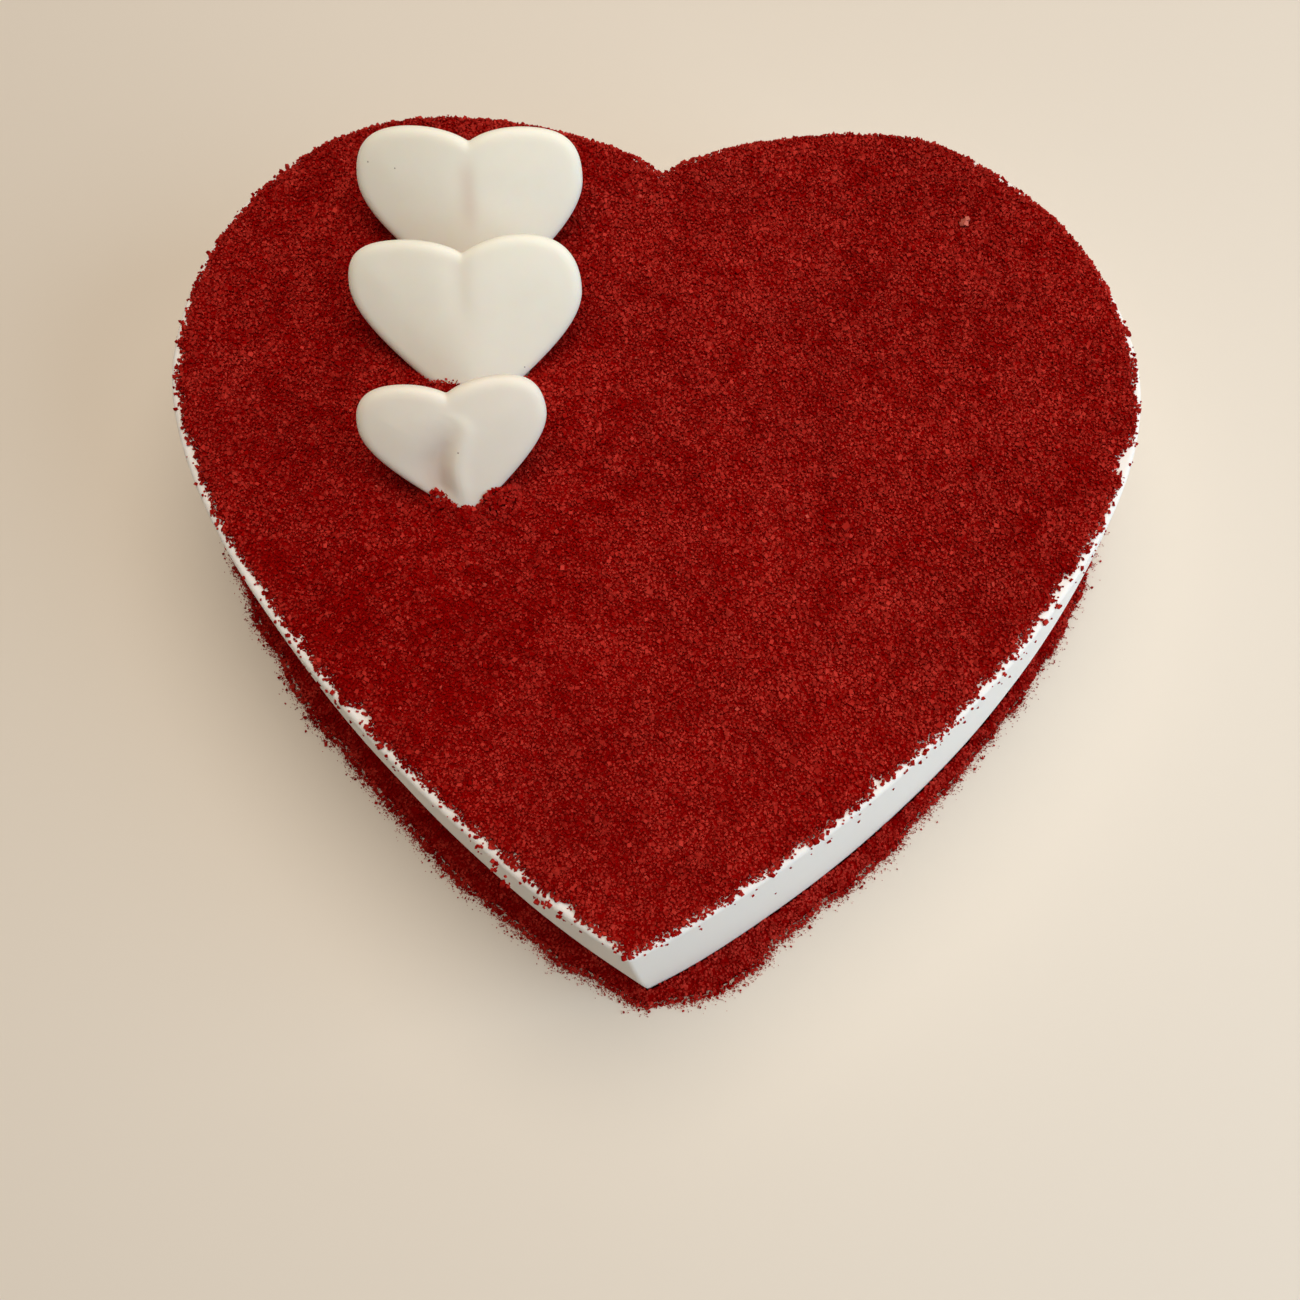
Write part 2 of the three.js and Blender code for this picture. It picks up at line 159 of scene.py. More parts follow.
def half_outline(half):
    """Half of a heart, from the notch to the tip, as close points in millimetres."""
    notch = Vector((0, half["notch_y"]))
    lobe = Vector((half["lobe_x"], half["lobe_y"]))
    widest = Vector((half["wide_x"], half["wide_y"]))
    tip = Vector((0, half["tip_y"]))
    curves = [
        (notch, notch + half["notch_reach"] * direction(half["notch_rise"]),
         lobe - Vector((half["lobe_reach_in"], 0)), lobe),
        (lobe, lobe + Vector((half["lobe_reach_out"], 0)),
         widest + Vector((0, half["wide_reach_up"])), widest),
        (widest, widest - Vector((0, half["wide_reach_down"])),
         tip + half["tip_reach"] * direction(90 - half["tip_half_angle"]), tip),
    ]
    points = [notch]
    for curve in curves:
        points += interpolate_bezier(*curve, CURVE_POINTS)[1:]
    return np.array(points)


def evenly(points, count):
    """The same line with a number of evenly spaced points."""
    along = np.concatenate([[0], np.cumsum(np.hypot(*np.diff(points, axis=0).T))])
    wanted = np.linspace(0, along[-1], count)
    return np.stack([np.interp(wanted, along, points[:, axis]) for axis in (0, 1)], axis=1)


def to_axis(points):
    """Starts a run on the heart's axis: drops what has crossed it, or goes on straight to it."""
    while points[1, 0] <= 0:
        points = points[1:]
    first, second = points[:2]
    start = first + (second - first) * first[0] / (first[0] - second[0])
    return np.vstack([start, points[1:]])


def half_ring(half, outward, steps):
    """Half of a heart moved outwards, evenly spaced from the notch to the tip."""
    points = evenly(half_outline(half), 2 * CURVE_POINTS)
    along = np.gradient(points, axis=0)
    along /= np.linalg.norm(along, axis=1)[:, None]
    moved = points + outward * np.stack([-along[:, 1], along[:, 0]], axis=1)
    return evenly(to_axis(to_axis(moved)[::-1])[::-1], steps + 1)


def heart_ring(right_half, left_half, outward, steps):
    """A whole heart, anticlockwise seen from above, starting at the tip."""
    left_run = half_ring(left_half, outward, steps) * [-1, 1]
    return np.vstack([half_ring(right_half, outward, steps)[::-1], left_run[1:-1]])


crumb_line = heart_ring(CAKE_RIGHT, CAKE_LEFT, 0, CRUMB_LINE_STEPS)
print("crumb layer", np.ptp(crumb_line, axis=0).round(1), "mm")

# %% [markdown]
# ## The cream coat
# Cream scraped smooth has a crisp but soft rim, and the wall flares towards the foot. It is made from a
# circle with a face: its points go to the outline, then its edges are extruded upwards ring by ring, round
# the rim and a little way across the top, which the crumbs hide. Each ring is the outline moved outwards by
# as much as the wall stands out at that height.

# %% Rings for the cream coat
CREAM_HEIGHT = cake_high.z / MM
RIM_RADIUS = 1.5
FOOT_FLARE = 6.5
TOP_FLARE = 1.8
WALL_BULGE = 0.8
FOOT_SHIFT = 1.4
TIP_LEAN, TIP_LEAN_REACH = 1.2, 18.0
WALL_STEPS = 28
RIM_STEPS = 7
WALL_POINTS = 400
TOP_INSETS = (2.6, 4.5, 9.0)

# The outline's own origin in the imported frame, from the left and the back of the foot.
OUTLINE_ORIGIN = np.array([
    cake_low.x / MM + CAKE_LEFT["wide_x"] + FOOT_FLARE - FOOT_SHIFT,
    cake_high.y / MM - CAKE_LEFT["lobe_y"] - FOOT_FLARE,
])
wall_height = CREAM_HEIGHT - RIM_RADIUS


def wall_flare(height):
    up = height / wall_height
    return FOOT_FLARE + (TOP_FLARE - FOOT_FLARE) * up + WALL_BULGE * np.sin(np.pi * up)


def wall_shift(spots, height):
    """How far to the right the wall stands. It leans left as it rises, and most of all at the tip."""
    from_tip = np.linalg.norm(spots - OUTLINE_ORIGIN - [0, CAKE_RIGHT["tip_y"]], axis=1) / TIP_LEAN_REACH
    return (FOOT_SHIFT + TIP_LEAN * np.exp(-from_tip ** 2)) * (1 - height / CREAM_HEIGHT)


def cream_ring(outward, height):
    """The heart moved outwards at a height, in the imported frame, as points in millimetres."""
    ring = heart_ring(CAKE_RIGHT, CAKE_LEFT, outward, WALL_POINTS) + OUTLINE_ORIGIN
    return np.column_stack([ring[:, 0] + wall_shift(ring, height), ring[:, 1], np.full(len(ring), height)])


cream_rings = [cream_ring(wall_flare(h), h) for h in np.linspace(0, wall_height, WALL_STEPS + 1)]
for step in range(1, RIM_STEPS + 1):
    bend = np.pi / 2 * step / RIM_STEPS
    inset = RIM_RADIUS * (1 - np.cos(bend))
    cream_rings.append(cream_ring(TOP_FLARE - inset, wall_height + RIM_RADIUS * np.sin(bend)))
cream_rings += [cream_ring(TOP_FLARE - inset, CREAM_HEIGHT) for inset in TOP_INSETS]
print(len(cream_rings), "rings of", len(cream_rings[0]), "points")

# %% One loft helper, used for the cream and the sugar hearts


def loft(rings):
    """Extrudes a capped circle from ring to ring. Every point remembers its number on the ring."""
    shape = bmesh.new()
    number = shape.verts.layers.int.new("number")
    started = bmesh.ops.create_circle(shape, cap_ends=True, segments=len(rings[0]), radius=1)
    for i, vert in enumerate(started["verts"]):
        vert[number] = i
        vert.co = rings[0][i]
    edges = list(shape.edges)
    for ring in rings[1:]:
        grown = bmesh.ops.extrude_edge_only(shape, edges=edges)["geom"]
        edges = [item for item in grown if isinstance(item, bmesh.types.BMEdge)
                 and len(item.link_faces) == 1]
        for vert in (item for item in grown if isinstance(item, bmesh.types.BMVert)):
            vert.co = ring[vert[number]]
    bmesh.ops.holes_fill(shape, edges=edges, sides=0)
    bmesh.ops.recalc_face_normals(shape, faces=shape.faces)
    return shape


def finish_piece(name, shape, material, smooth=True):
    """Makes a bmesh in millimetres a piece of the cake, in metres."""
    bmesh.ops.scale(shape, vec=(MM, MM, MM), verts=shape.verts)
    mesh = bpy.data.meshes.new(name)
    shape.to_mesh(mesh)
    shape.free()
    return add_piece(name, mesh, material, smooth)


def add_piece(name, mesh, material, smooth=False):
    mesh.polygons.foreach_set("use_smooth", np.full(len(mesh.polygons), smooth))
    mesh.materials.append(material)
    piece = add_object(name, mesh)
    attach(piece, "root")
    print(name, len(mesh.vertices), "points,", len(mesh.polygons), "faces")
    return piece


# %% [markdown]
# ### The finish of the cream
# Whipped cream is white with a faint warmth, and moist: light goes a little way into it, which softens every
# shadow edge, and its surface is a broad satin. The scraper leaves level strokes, a few millimetres high and
# many centimetres long, so the bump is a noise stretched along the wall.

# %% Whipped cream, drawn smooth with a scraper
STROKE_HEIGHT = 3.0
STROKE_STRETCH = 0.06
PORE_SIZE = 0.9
FOLD_SIZE = 25.0


def new_material(name, finish):
    """A material. Its finish is a function that adds its nodes, from Object coordinates to the shader."""
    material = bpy.data.materials.new(name)
    material.use_nodes = True
    tree = material.node_tree
    tree.nodes.clear()
    shader = finish(tree, add_node(tree, "TexCoord").outputs["Object"])
    add_node(tree, "OutputMaterial", {"Surface": shader})
    print("material", name, "with", len(tree.nodes), "nodes")
    return material


def whipped_cream(tree, place):
    level = add_node(tree, "Mapping", {"Vector": place, "Scale": (STROKE_STRETCH, STROKE_STRETCH, 1)})
    strokes = add_node(tree, "TexNoise", {
        "Vector": level, "Scale": 1 / (STROKE_HEIGHT * MM), "Detail": 3.0,
    })
    pores = add_node(tree, "TexNoise", {"Vector": place, "Scale": 1 / (PORE_SIZE * MM), "Detail": 2.0})
    fold = add_node(tree, "TexNoise", {"Vector": place, "Scale": 1 / (FOLD_SIZE * MM), "Detail": 2.0})
    tint = add_node(tree, "Mix", {
        "Factor": fold, "A": linear("#f3efe8"), "B": linear("#eeeae4"),
    }, data_type="RGBA")
    stroke_bump = add_node(tree, "Bump", {"Height": strokes, "Strength": 0.3, "Distance": 0.2 * MM})
    bump = add_node(tree, "Bump", {
        "Height": pores, "Normal": stroke_bump,
        "Strength": 0.2, "Distance": 0.08 * MM,
    })
    return add_node(tree, "BsdfPrincipled", {
        "Base Color": tint, "Normal": bump,
        "Roughness": 0.5, "IOR": 1.45, "Specular IOR Level": 0.3,
        "Subsurface Weight": 0.2, "Subsurface Radius": (1.0, 0.8, 0.6), "Subsurface Scale": 1.5 * MM,
    })


cream = new_material("whipped_cream_scraped_smooth", whipped_cream)

# %% [markdown]
# The scraper wandered by a fraction of a millimetre as it went round, more near the foot than at the rim, so
# every point of the wall is pushed in or out by a slow noise.

# %% The cream coat
SCRAPER_WAVE = 0.3
WAVE_LENGTH, WAVE_HEIGHT = 30.0, 16.0
WAVE_STARTS_ABOVE = 5.0
WAVE_LOST_AT_RIM = 0.6

cream_shape = loft(cream_rings)
for vert in cream_shape.verts:
    outwards = vert.co - Vector((OUTLINE_ORIGIN[0], OUTLINE_ORIGIN[1], vert.co.z))
    rise = min(vert.co.z / WAVE_STARTS_ABOVE, 1) * (1 - WAVE_LOST_AT_RIM * vert.co.z / CREAM_HEIGHT)
    wave = noise.noise(Vector((vert.co.x / WAVE_LENGTH, vert.co.y / WAVE_LENGTH, vert.co.z / WAVE_HEIGHT)))
    vert.co += outwards.normalized() * SCRAPER_WAVE * wave * rise
coat = finish_piece("cream_coat", cream_shape, cream)
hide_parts("cake_body")

# %% [markdown]
# ## Crumbs
# A crumb is a dry, angular bit of sponge up to a millimetre across. There are three kinds: splinters with
# four faces for the smallest, flakes with eight and blocks with twelve. Each is a bmesh shape whose points
# are pushed in and out. Thousands of copies, turned, stretched and sized at random, are joined into one mesh
# from arrays, which is quick. Each crumb carries a tone, a number that its material reads.

# %% Shapes for single crumbs
CRUMB_ROUGH = 0.26
SPLINTER_RADIUS, SPLINTER_LENGTH = 0.55, 0.8
FLAKE_RADIUS, BLOCK_SIDE = 0.58, 0.78


def crumb_shape(kind, rng):
    """One crumb about 1 across, as its points and its triangles."""
    shape = bmesh.new()
    if kind == "splinter":
        bmesh.ops.create_cone(shape, cap_ends=True, segments=3, radius1=SPLINTER_RADIUS, radius2=0,
                              depth=SPLINTER_LENGTH)
    elif kind == "flake":
        bmesh.ops.create_uvsphere(shape, u_segments=4, v_segments=2, radius=FLAKE_RADIUS)
    else:
        bmesh.ops.create_cube(shape, size=BLOCK_SIDE)
    bmesh.ops.triangulate(shape, faces=shape.faces)
    for vert in shape.verts:
        vert.co *= 1 + rng.uniform(-CRUMB_ROUGH, CRUMB_ROUGH)
    bmesh.ops.recalc_face_normals(shape, faces=shape.faces)
    points = np.array([vert.co for vert in shape.verts])
    corners = np.array([[vert.index for vert in face.verts] for face in shape.faces])
    shape.free()
    return points, corners


# %% Many crumbs joined into one piece
CRUMB_STRETCH = (0.78, 1.22)
SHAPES_OF_A_KIND = 8
scattered_triangles = 0


def random_turns(count, rng):
    """Random rotations as 3 by 3 matrices, from unit quaternions."""
    w, x, y, z = rng.normal(size=(4, count))
    size = np.sqrt(w * w + x * x + y * y + z * z)
    w, x, y, z = w / size, x / size, y / size, z / size
    return np.array([
        [1 - 2 * (y * y + z * z), 2 * (x * y - z * w), 2 * (x * z + y * w)],
        [2 * (x * y + z * w), 1 - 2 * (x * x + z * z), 2 * (y * z - x * w)],
        [2 * (x * z - y * w), 2 * (y * z + x * w), 1 - 2 * (x * x + y * y)],
    ]).transpose(2, 0, 1)


def scatter(name, crumbs, kind, material, seed):
    """Joins one crumb for each row of x, y, z, size and tone into a single piece."""
    global scattered_triangles
    rng = np.random.default_rng(seed)
    shapes = [crumb_shape(kind, rng) for _ in range(SHAPES_OF_A_KIND)]
    points = np.array([shape[0] for shape in shapes])
    corners = shapes[0][1]
    count = len(crumbs)
    places, sizes, tones = crumbs[:, :3], crumbs[:, 3], crumbs[:, 4]
    chosen = points[rng.integers(0, SHAPES_OF_A_KIND, count)]
    stretched = chosen * (sizes[:, None] * rng.uniform(*CRUMB_STRETCH, (count, 3)))[:, None, :]
    turned = np.einsum("nij,nvj->nvi", random_turns(count, rng), stretched)
    placed = turned + places[:, None, :]
    placed[:, :, 2] += np.maximum(0, -placed[:, :, 2].min(axis=1))[:, None]
    faces = corners[None] + points.shape[1] * np.arange(count)[:, None, None]
    mesh = bpy.data.meshes.new(name)
    mesh.from_pydata(placed.reshape(-1, 3) * MM, [], faces.reshape(-1, 3))
    tone = mesh.attributes.new("tone", "FLOAT", "POINT")
    tone.data.foreach_set("value", np.repeat(tones, points.shape[1]).astype(np.float32))
    scattered_triangles += len(mesh.polygons)
    return add_piece(name, mesh, material)


# %% [markdown]
# ### The finish of the crumbs
# Red sponge crumbs are dry and matt. Light that falls between them bounces from one red face to the next, so
# the gaps turn a deep pure red. The tone of each crumb moves its colour from a dark crust red to a lighter
# crumb red, and above one it goes on to a pale pink: the colour of a paler lump, and a painted highlight on a
# few scattered crumbs, for the whitish sheen of lit crumb tops. A slow noise darkens patches a few
# centimetres across.

# %% Dried red sponge crumbs
PATCH_SIZE = 28.0
GRAIN_SIZE = 0.35
PALE_FROM = 1.0


def sponge_crumbs(tree, place):
    tone = add_node(tree, "Attribute", attribute_name="tone", attribute_type="GEOMETRY").outputs["Fac"]
    patches = add_node(tree, "TexNoise", {
        "Vector": place, "Scale": 1 / (PATCH_SIZE * MM), "Detail": 3.0, "Roughness": 0.6,
    })
    grain = add_node(tree, "TexNoise", {"Vector": place, "Scale": 1 / (GRAIN_SIZE * MM), "Detail": 1.0})
    red = add_node(tree, "Mix", {
        "Factor": tone, "A": linear("#8a0100"), "B": linear("#c0352b"),
    }, data_type="RGBA")
    paler = add_node(tree, "Math", {0: tone, 1: PALE_FROM},
                     operation="SUBTRACT", use_clamp=True)
    colour = add_node(tree, "Mix", {
        "Factor": paler, "A": red, "B": linear("#d98a76"),
    }, data_type="RGBA")
    shade = add_node(tree, "MapRange", {
        "Value": patches, "From Min": 0.35, "From Max": 0.65, "To Min": 0.9, "To Max": 1.04,
    })
    patched = add_node(tree, "VectorMath", {0: colour, "Scale": shade}, operation="SCALE")
    bump = add_node(tree, "Bump", {"Height": grain, "Strength": 0.4, "Distance": 0.12 * MM})
    return add_node(tree, "BsdfPrincipled", {
        "Base Color": patched, "Normal": bump,
        "Roughness": 0.85, "IOR": 1.45, "Specular IOR Level": 0.03,
    })


crumb_red = new_material("dried_red_sponge_crumbs", sponge_crumbs)

# %% [markdown]
# ### Where the crumbs end
# The layer ends near the rim in a ragged line. Behind, the crumbs run right out to the rim and hang over it,
# and along the two front flanks they stop short of it, with bites out of the line. So each spot on the top
# gets two numbers: how far outside the crumb line it lies, and how far the crumbs reach there.

# %% Distance to the crumb line
SPOTS_AT_ONCE = 4000
crumb_ring = crumb_line + OUTLINE_ORIGIN
ring_step = np.roll(crumb_ring, -1, axis=0) - np.roll(crumb_ring, 1, axis=0)
ring_out = np.stack([ring_step[:, 1], -ring_step[:, 0]], axis=1)
ring_out /= np.linalg.norm(ring_out, axis=1)[:, None]


def nearest_on_line(spots):
    """The number of the crumb line's point nearest to each spot."""
    nearest = np.empty(len(spots), dtype=int)
    for start in range(0, len(spots), SPOTS_AT_ONCE):
        away = spots[start:start + SPOTS_AT_ONCE, None, :] - crumb_ring[None]
        nearest[start:start + SPOTS_AT_ONCE] = np.argmin((away ** 2).sum(axis=2), axis=1)
    return nearest


def outside_line(spots):
    """How far outside the crumb line each spot lies, negative inside it."""
    nearest = nearest_on_line(spots)
    away = spots - crumb_ring[nearest]
    side = np.sign((away * ring_out[nearest]).sum(axis=1))
    return np.linalg.norm(away, axis=1) * side


# %% How far the crumbs reach
EDGE_SPREAD = 0.75
LEFT_FLANK_DRAW = 0.35
BEHIND_SPREAD = 0.65
BEHIND_FROM_Y, BEHIND_TO_Y = -5.0, 45.0
TOOTH_SIZE, TOOTH_DEPTH = 1.3, 0.95
WAVE_SIZE, WAVE_DEPTH = 4.0, 0.8
BITE_SIZE, BITE_DEPTH, BITE_FROM, BITE_LIMIT = 5.5, 4.2, 0.16, 0.5
BITES_LOST_BEHIND = 0.8
BACK_OVERHANG, BACK_FROM_Y, BACK_TO_Y = 1.9, 64.0, 80.0
# A scoop out of the left flank, and a stretch of the right lobe where the crumbs run out further: the place
# of each, its radius and the change of reach.
REACH_CHANGES = (((-105.0, -10.0), 4.2, -3.6), ((93.0, 50.0), 12.0, 2.0))
# Right at the tip the line is whole and reaches a little further.
TIP_REACH_OUT, TIP_WHOLE_WITHIN, TEETH_LOST_AT_TIP = 0.5, 11.0, 0.5
REACH_LIMIT = 2.6
NEAR_THE_EDGE = 8.0


def noise_at(spots, size, layer):
    """Soft noise from about -1 to 1 at each spot, with swells of a size. Layers differ."""
    return np.array([noise.noise(Vector((x / size, y / size, layer))) for x, y in spots])


def ease(value, low, high):
    share = np.clip((value - low) / (high - low), 0, 1)
    return share * share * (3 - 2 * share)


def crumb_reach(spots):
    """How far past the crumb line the crumbs lie at each spot."""
    x, y = (spots - OUTLINE_ORIGIN).T
    behind = ease(y, BEHIND_FROM_Y, BEHIND_TO_Y)
    at_tip = np.exp(-(np.hypot(x, y - CAKE_RIGHT["tip_y"]) / TIP_WHOLE_WITHIN) ** 2)
    spread = EDGE_SPREAD - LEFT_FLANK_DRAW * (x < 0) + TIP_REACH_OUT * at_tip
    teeth = TOOTH_DEPTH * noise_at(spots, TOOTH_SIZE, 3.1) + WAVE_DEPTH * noise_at(spots, WAVE_SIZE, 5.7)
    bites = BITE_DEPTH * np.clip(noise_at(spots, BITE_SIZE, 8.4) - BITE_FROM, 0, BITE_LIMIT)
    reach = spread + (BEHIND_SPREAD - spread) * behind + BACK_OVERHANG * ease(y, BACK_FROM_Y, BACK_TO_Y)
    reach += teeth * (1 - TEETH_LOST_AT_TIP * at_tip)
    reach -= bites * (1 - BITES_LOST_BEHIND * behind) * (1 - at_tip)
    for place, radius, change in REACH_CHANGES:
        reach += change * np.exp(-(np.hypot(x - place[0], y - place[1]) / radius) ** 2)
    return np.minimum(reach, REACH_LIMIT)


def reach_near_edge(spots, outside):
    """The reach of the crumbs at each spot, worked out only near the line."""
    reach = np.full(len(spots), REACH_LIMIT)
    near = np.abs(outside) < NEAR_THE_EDGE
    reach[near] = crumb_reach(spots[near])
    return reach


# %% [markdown]
# ### The bed of crumbs on top
# Under the crumbs that show lie more of them. They are drawn as relief: a fine grid that follows the packed
# layer, a little lower, with every point pushed up or down by a fraction of a crumb. Heights come from rays
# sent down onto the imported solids, and the layer thins out over its last two millimetres.

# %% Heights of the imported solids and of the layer
RAYS_START_ABOVE = 10.0


def height_finder(node):
    """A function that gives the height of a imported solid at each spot."""
    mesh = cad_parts[node].data
    tree = BVHTree.FromPolygons([v.co for v in mesh.vertices], [tuple(p.vertices) for p in mesh.polygons])
    above = packed_box[1].z + RAYS_START_ABOVE * MM

    def heights(spots):
        hits = [tree.ray_cast(Vector((x * MM, y * MM, above)), Vector((0, 0, -1)))[0] for x, y in spots]
        return np.array([np.nan if hit is None else hit.z / MM for hit in hits])

    return heights


packed_layer_height = height_finder("crumb_top")
cream_height = height_finder("cake_body")

EDGE_DEPTH = 1.3
THIN_FROM, THIN_TO = -0.2, 2.4
POCKET_INSIDE = 2.5
LEVEL_WITHIN = 0.1


def layer_height(spots, outside, reach):
    """The height of the crumb layer at each spot. The pockets of the sugar hearts have none."""
    packed, creams = packed_layer_height(spots), cream_height(spots)
    full = np.where(np.isnan(packed), creams + EDGE_DEPTH, packed)
    thin = ease(reach - outside, THIN_FROM, THIN_TO)
    height = creams + (full - creams) * thin
    in_pocket = np.isnan(packed) & (outside < -POCKET_INSIDE)
    height[in_pocket | (creams < CREAM_HEIGHT - RIM_RADIUS)] = np.nan
    pocket_rim = ~np.isnan(packed) & (creams < CREAM_HEIGHT - LEVEL_WITHIN) & (outside < 0)
    height[pocket_rim] = packed[pocket_rim]
    return height


# %% The bed on top
BED_GRID = 0.75
BED_INSET = 0.9
BED_DROP = 0.35
BED_RELIEF = 0.22
BED_JITTER = 0.3
SKIRT_DEPTH = 0.6

layer_low, layer_high = (np.array(corner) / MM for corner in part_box("crumb_top"))
layer_middle = (layer_low + layer_high) / 2
layer_size = layer_high - layer_low


def crumb_bed(rng):
    shape = bmesh.new()
    columns, rows = (int(length / BED_GRID) for length in layer_size[:2])
    bmesh.ops.create_grid(shape, x_segments=columns, y_segments=rows, size=0.5)
    bmesh.ops.scale(shape, vec=(layer_size[0], layer_size[1], 1), verts=shape.verts)
    bmesh.ops.translate(shape, vec=(layer_middle[0], layer_middle[1], 0), verts=shape.verts)
    verts = list(shape.verts)
    jitter = rng.uniform(-BED_JITTER, BED_JITTER, (len(verts), 2)) * BED_GRID
    spots = np.array([vert.co.xy for vert in verts]) + jitter
    outside = outside_line(spots)
    reach = reach_near_edge(spots, outside)
    inner = outside < reach - BED_INSET
    tops = np.full(len(verts), np.nan)
    tops[inner] = layer_height(spots[inner], outside[inner], reach[inner])
    tops += rng.uniform(-BED_RELIEF, BED_RELIEF, len(verts)) - BED_DROP
    for vert, spot, top in zip(verts, spots, tops):
        vert.co = (spot[0], spot[1], top)
    gone = [vert for vert, top in zip(verts, tops) if np.isnan(top)]
    bmesh.ops.delete(shape, geom=gone, context="VERTS")
    rim = [edge for edge in shape.edges if len(edge.link_faces) == 1]
    skirt = bmesh.ops.extrude_edge_only(shape, edges=rim)["geom"]
    for vert in (item for item in skirt if isinstance(item, bmesh.types.BMVert)):
        vert.co.z = CREAM_HEIGHT - SKIRT_DEPTH
    bmesh.ops.recalc_face_normals(shape, faces=shape.faces)
    return shape


bed = finish_piece("crumb_bed", crumb_bed(np.random.default_rng(31)), crumb_red)
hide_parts("crumb_top")

# %% [markdown]
# ### The crumbs on top
# A triangular grid with every spot moved at random gives an even cover without rows. Soft noise in the tone
# gives the mottled look of sieved crumbs. Near the edge more crumbs are piled between the cream and the top
# of the layer, so that its side is made of crumbs too.

# %% Spots, tones and sizes for crumbs
ROW_SPACING = 0.866
SPOT_JITTER = 0.45
CRUMB_SIZE, CRUMB_SIZE_SPREAD = 0.61, 0.2
TONE_MIDDLE, TONE_SPREAD = 0.45, 0.25
FINE_DRIFT, FINE_DRIFT_SIZE = 0.32, 4.2
BROAD_DRIFT, BROAD_DRIFT_SIZE = 0.2, 11.0
# The share of crumbs made pale pink, and their highest tone: a painted highlight for the sheen on lit crumb
# tops.
PAINTED_SHEEN_SHARE, PAINTED_SHEEN_TONE = 0.002, 1.15
# Patches that are lighter or darker than the rest: place, radius and change of tone. The two broad last ones,
# which darken the left and the front left, are painted shade for the weaker light there.
TONE_AND_SHADE_PATCHES = (
    ((82.7, 5.5), 4.5, 0.2), ((-24.3, -71.5), 5.0, 0.2), ((24.9, -59.3), 5.0, 0.18),
    ((54.0, -36.6), 5.0, 0.2), ((94.8, 10.6), 4.0, -0.25), ((90.7, -8.4), 4.5, -0.25),
    ((87.8, -26.7), 4.0, -0.2), ((-50.0, -52.0), 26.0, -0.2), ((-75.0, -30.0), 70.0, -0.17),
)


def jittered_spots(low, high, spacing, rng):
    """Spots on a triangular grid, each moved at random by part of the spacing."""
    rows = int((high[1] - low[1]) / (spacing * ROW_SPACING)) + 1
    columns = int((high[0] - low[0]) / spacing) + 1
    row, column = np.meshgrid(np.arange(rows), np.arange(columns), indexing="ij")
    x = low[0] + (column + 0.5 * (row % 2)) * spacing
    y = low[1] + row * spacing * ROW_SPACING
    spots = np.stack([x.ravel(), y.ravel()], axis=1)
    return spots + rng.uniform(-SPOT_JITTER, SPOT_JITTER, spots.shape) * spacing


def crumb_tones(spots, rng):
    """Tones that drift from place to place, darker over the left as painted shade, with a pale one here and
    there as a painted highlight.
    """
    drift = FINE_DRIFT * noise_at(spots, FINE_DRIFT_SIZE, 1.3)
    drift += BROAD_DRIFT * noise_at(spots, BROAD_DRIFT_SIZE, 6.2)
    for place, radius, change in TONE_AND_SHADE_PATCHES:
        away = np.linalg.norm(spots - OUTLINE_ORIGIN - place, axis=1) / radius
        drift += change * np.exp(-away ** 2)
    tones = np.clip(TONE_MIDDLE + drift + rng.normal(0, TONE_SPREAD, len(spots)), 0, 1)
    painted_sheen = rng.uniform(0, 1, len(spots)) < PAINTED_SHEEN_SHARE
    tones[painted_sheen] = rng.uniform(1, PAINTED_SHEEN_TONE, painted_sheen.sum())
    return tones


def crumb_sizes(count, rng, middle=CRUMB_SIZE, spread=CRUMB_SIZE_SPREAD):
    return rng.lognormal(np.log(middle), spread, count)


# %% Places for the crumbs on top
CRUMB_SPACING = 0.565
CRUMB_LIFT = 0.19
EDGE_PILE_WIDTH, EDGE_PILE_FILLED, EDGE_PILE_NUDGE = 2.2, 0.7, 0.3


def top_crumbs(rng):
    """Rows of x, y, z, size and tone for the crumbs on top."""
    low, high = crumb_ring.min(axis=0) - REACH_LIMIT, crumb_ring.max(axis=0) + REACH_LIMIT
    spots = jittered_spots(low, high, CRUMB_SPACING, rng)
    outside = outside_line(spots)
    reach = reach_near_edge(spots, outside)
    kept = outside < reach
    spots, outside, reach = spots[kept], outside[kept], reach[kept]
    tops = layer_height(spots, outside, reach)
    found = ~np.isnan(tops)
    spots, outside, reach, tops = spots[found], outside[found], reach[found], tops[found]
    surface = tops + CRUMB_LIFT * rng.uniform(-1, 1, len(spots))
    pile = reach - outside < EDGE_PILE_WIDTH
    deeper = CREAM_HEIGHT + (tops[pile] - CREAM_HEIGHT) * rng.uniform(0, EDGE_PILE_FILLED, pile.sum())
    nudge = rng.uniform(-EDGE_PILE_NUDGE, EDGE_PILE_NUDGE, (pile.sum(), 2))
    spots = np.vstack([spots, spots[pile] + nudge])
    heights = np.concatenate([surface, np.minimum(deeper, tops[pile])])
    return np.column_stack([spots, heights, crumb_sizes(len(spots), rng), crumb_tones(spots, rng)])


# %% The crumbs on top
# From the smallest to the largest: each piece's name, the share of the crumbs up to its end, and their kind.
KINDS_ON_TOP = (
    ("crumbs_finest", 0.32, "splinter"),
    ("crumbs_finer", 0.60, "splinter"),
    ("crumbs_fine", 0.775, "flake"),
    ("crumbs_middling", 0.95, "flake"),
    ("crumbs_coarse", 1.0, "block"),
)

crumbs = top_crumbs(np.random.default_rng(7))
crumbs = crumbs[np.argsort(crumbs[:, 3])]
start = 0
for number, (name, share, kind) in enumerate(KINDS_ON_TOP):
    end = int(len(crumbs) * share)
    scatter(name, crumbs[start:end], kind, crumb_red, 100 + number)
    start = end
print(len(crumbs), "crumbs on top")

# %% [markdown]
# Some crumbs came loose. Singles and little clumps lie on the bare rim, and a few stick to the wall. The
# front heart pushed up small mounds as it went in, and they lie over its lower end. A paler lump lies near
# the back.

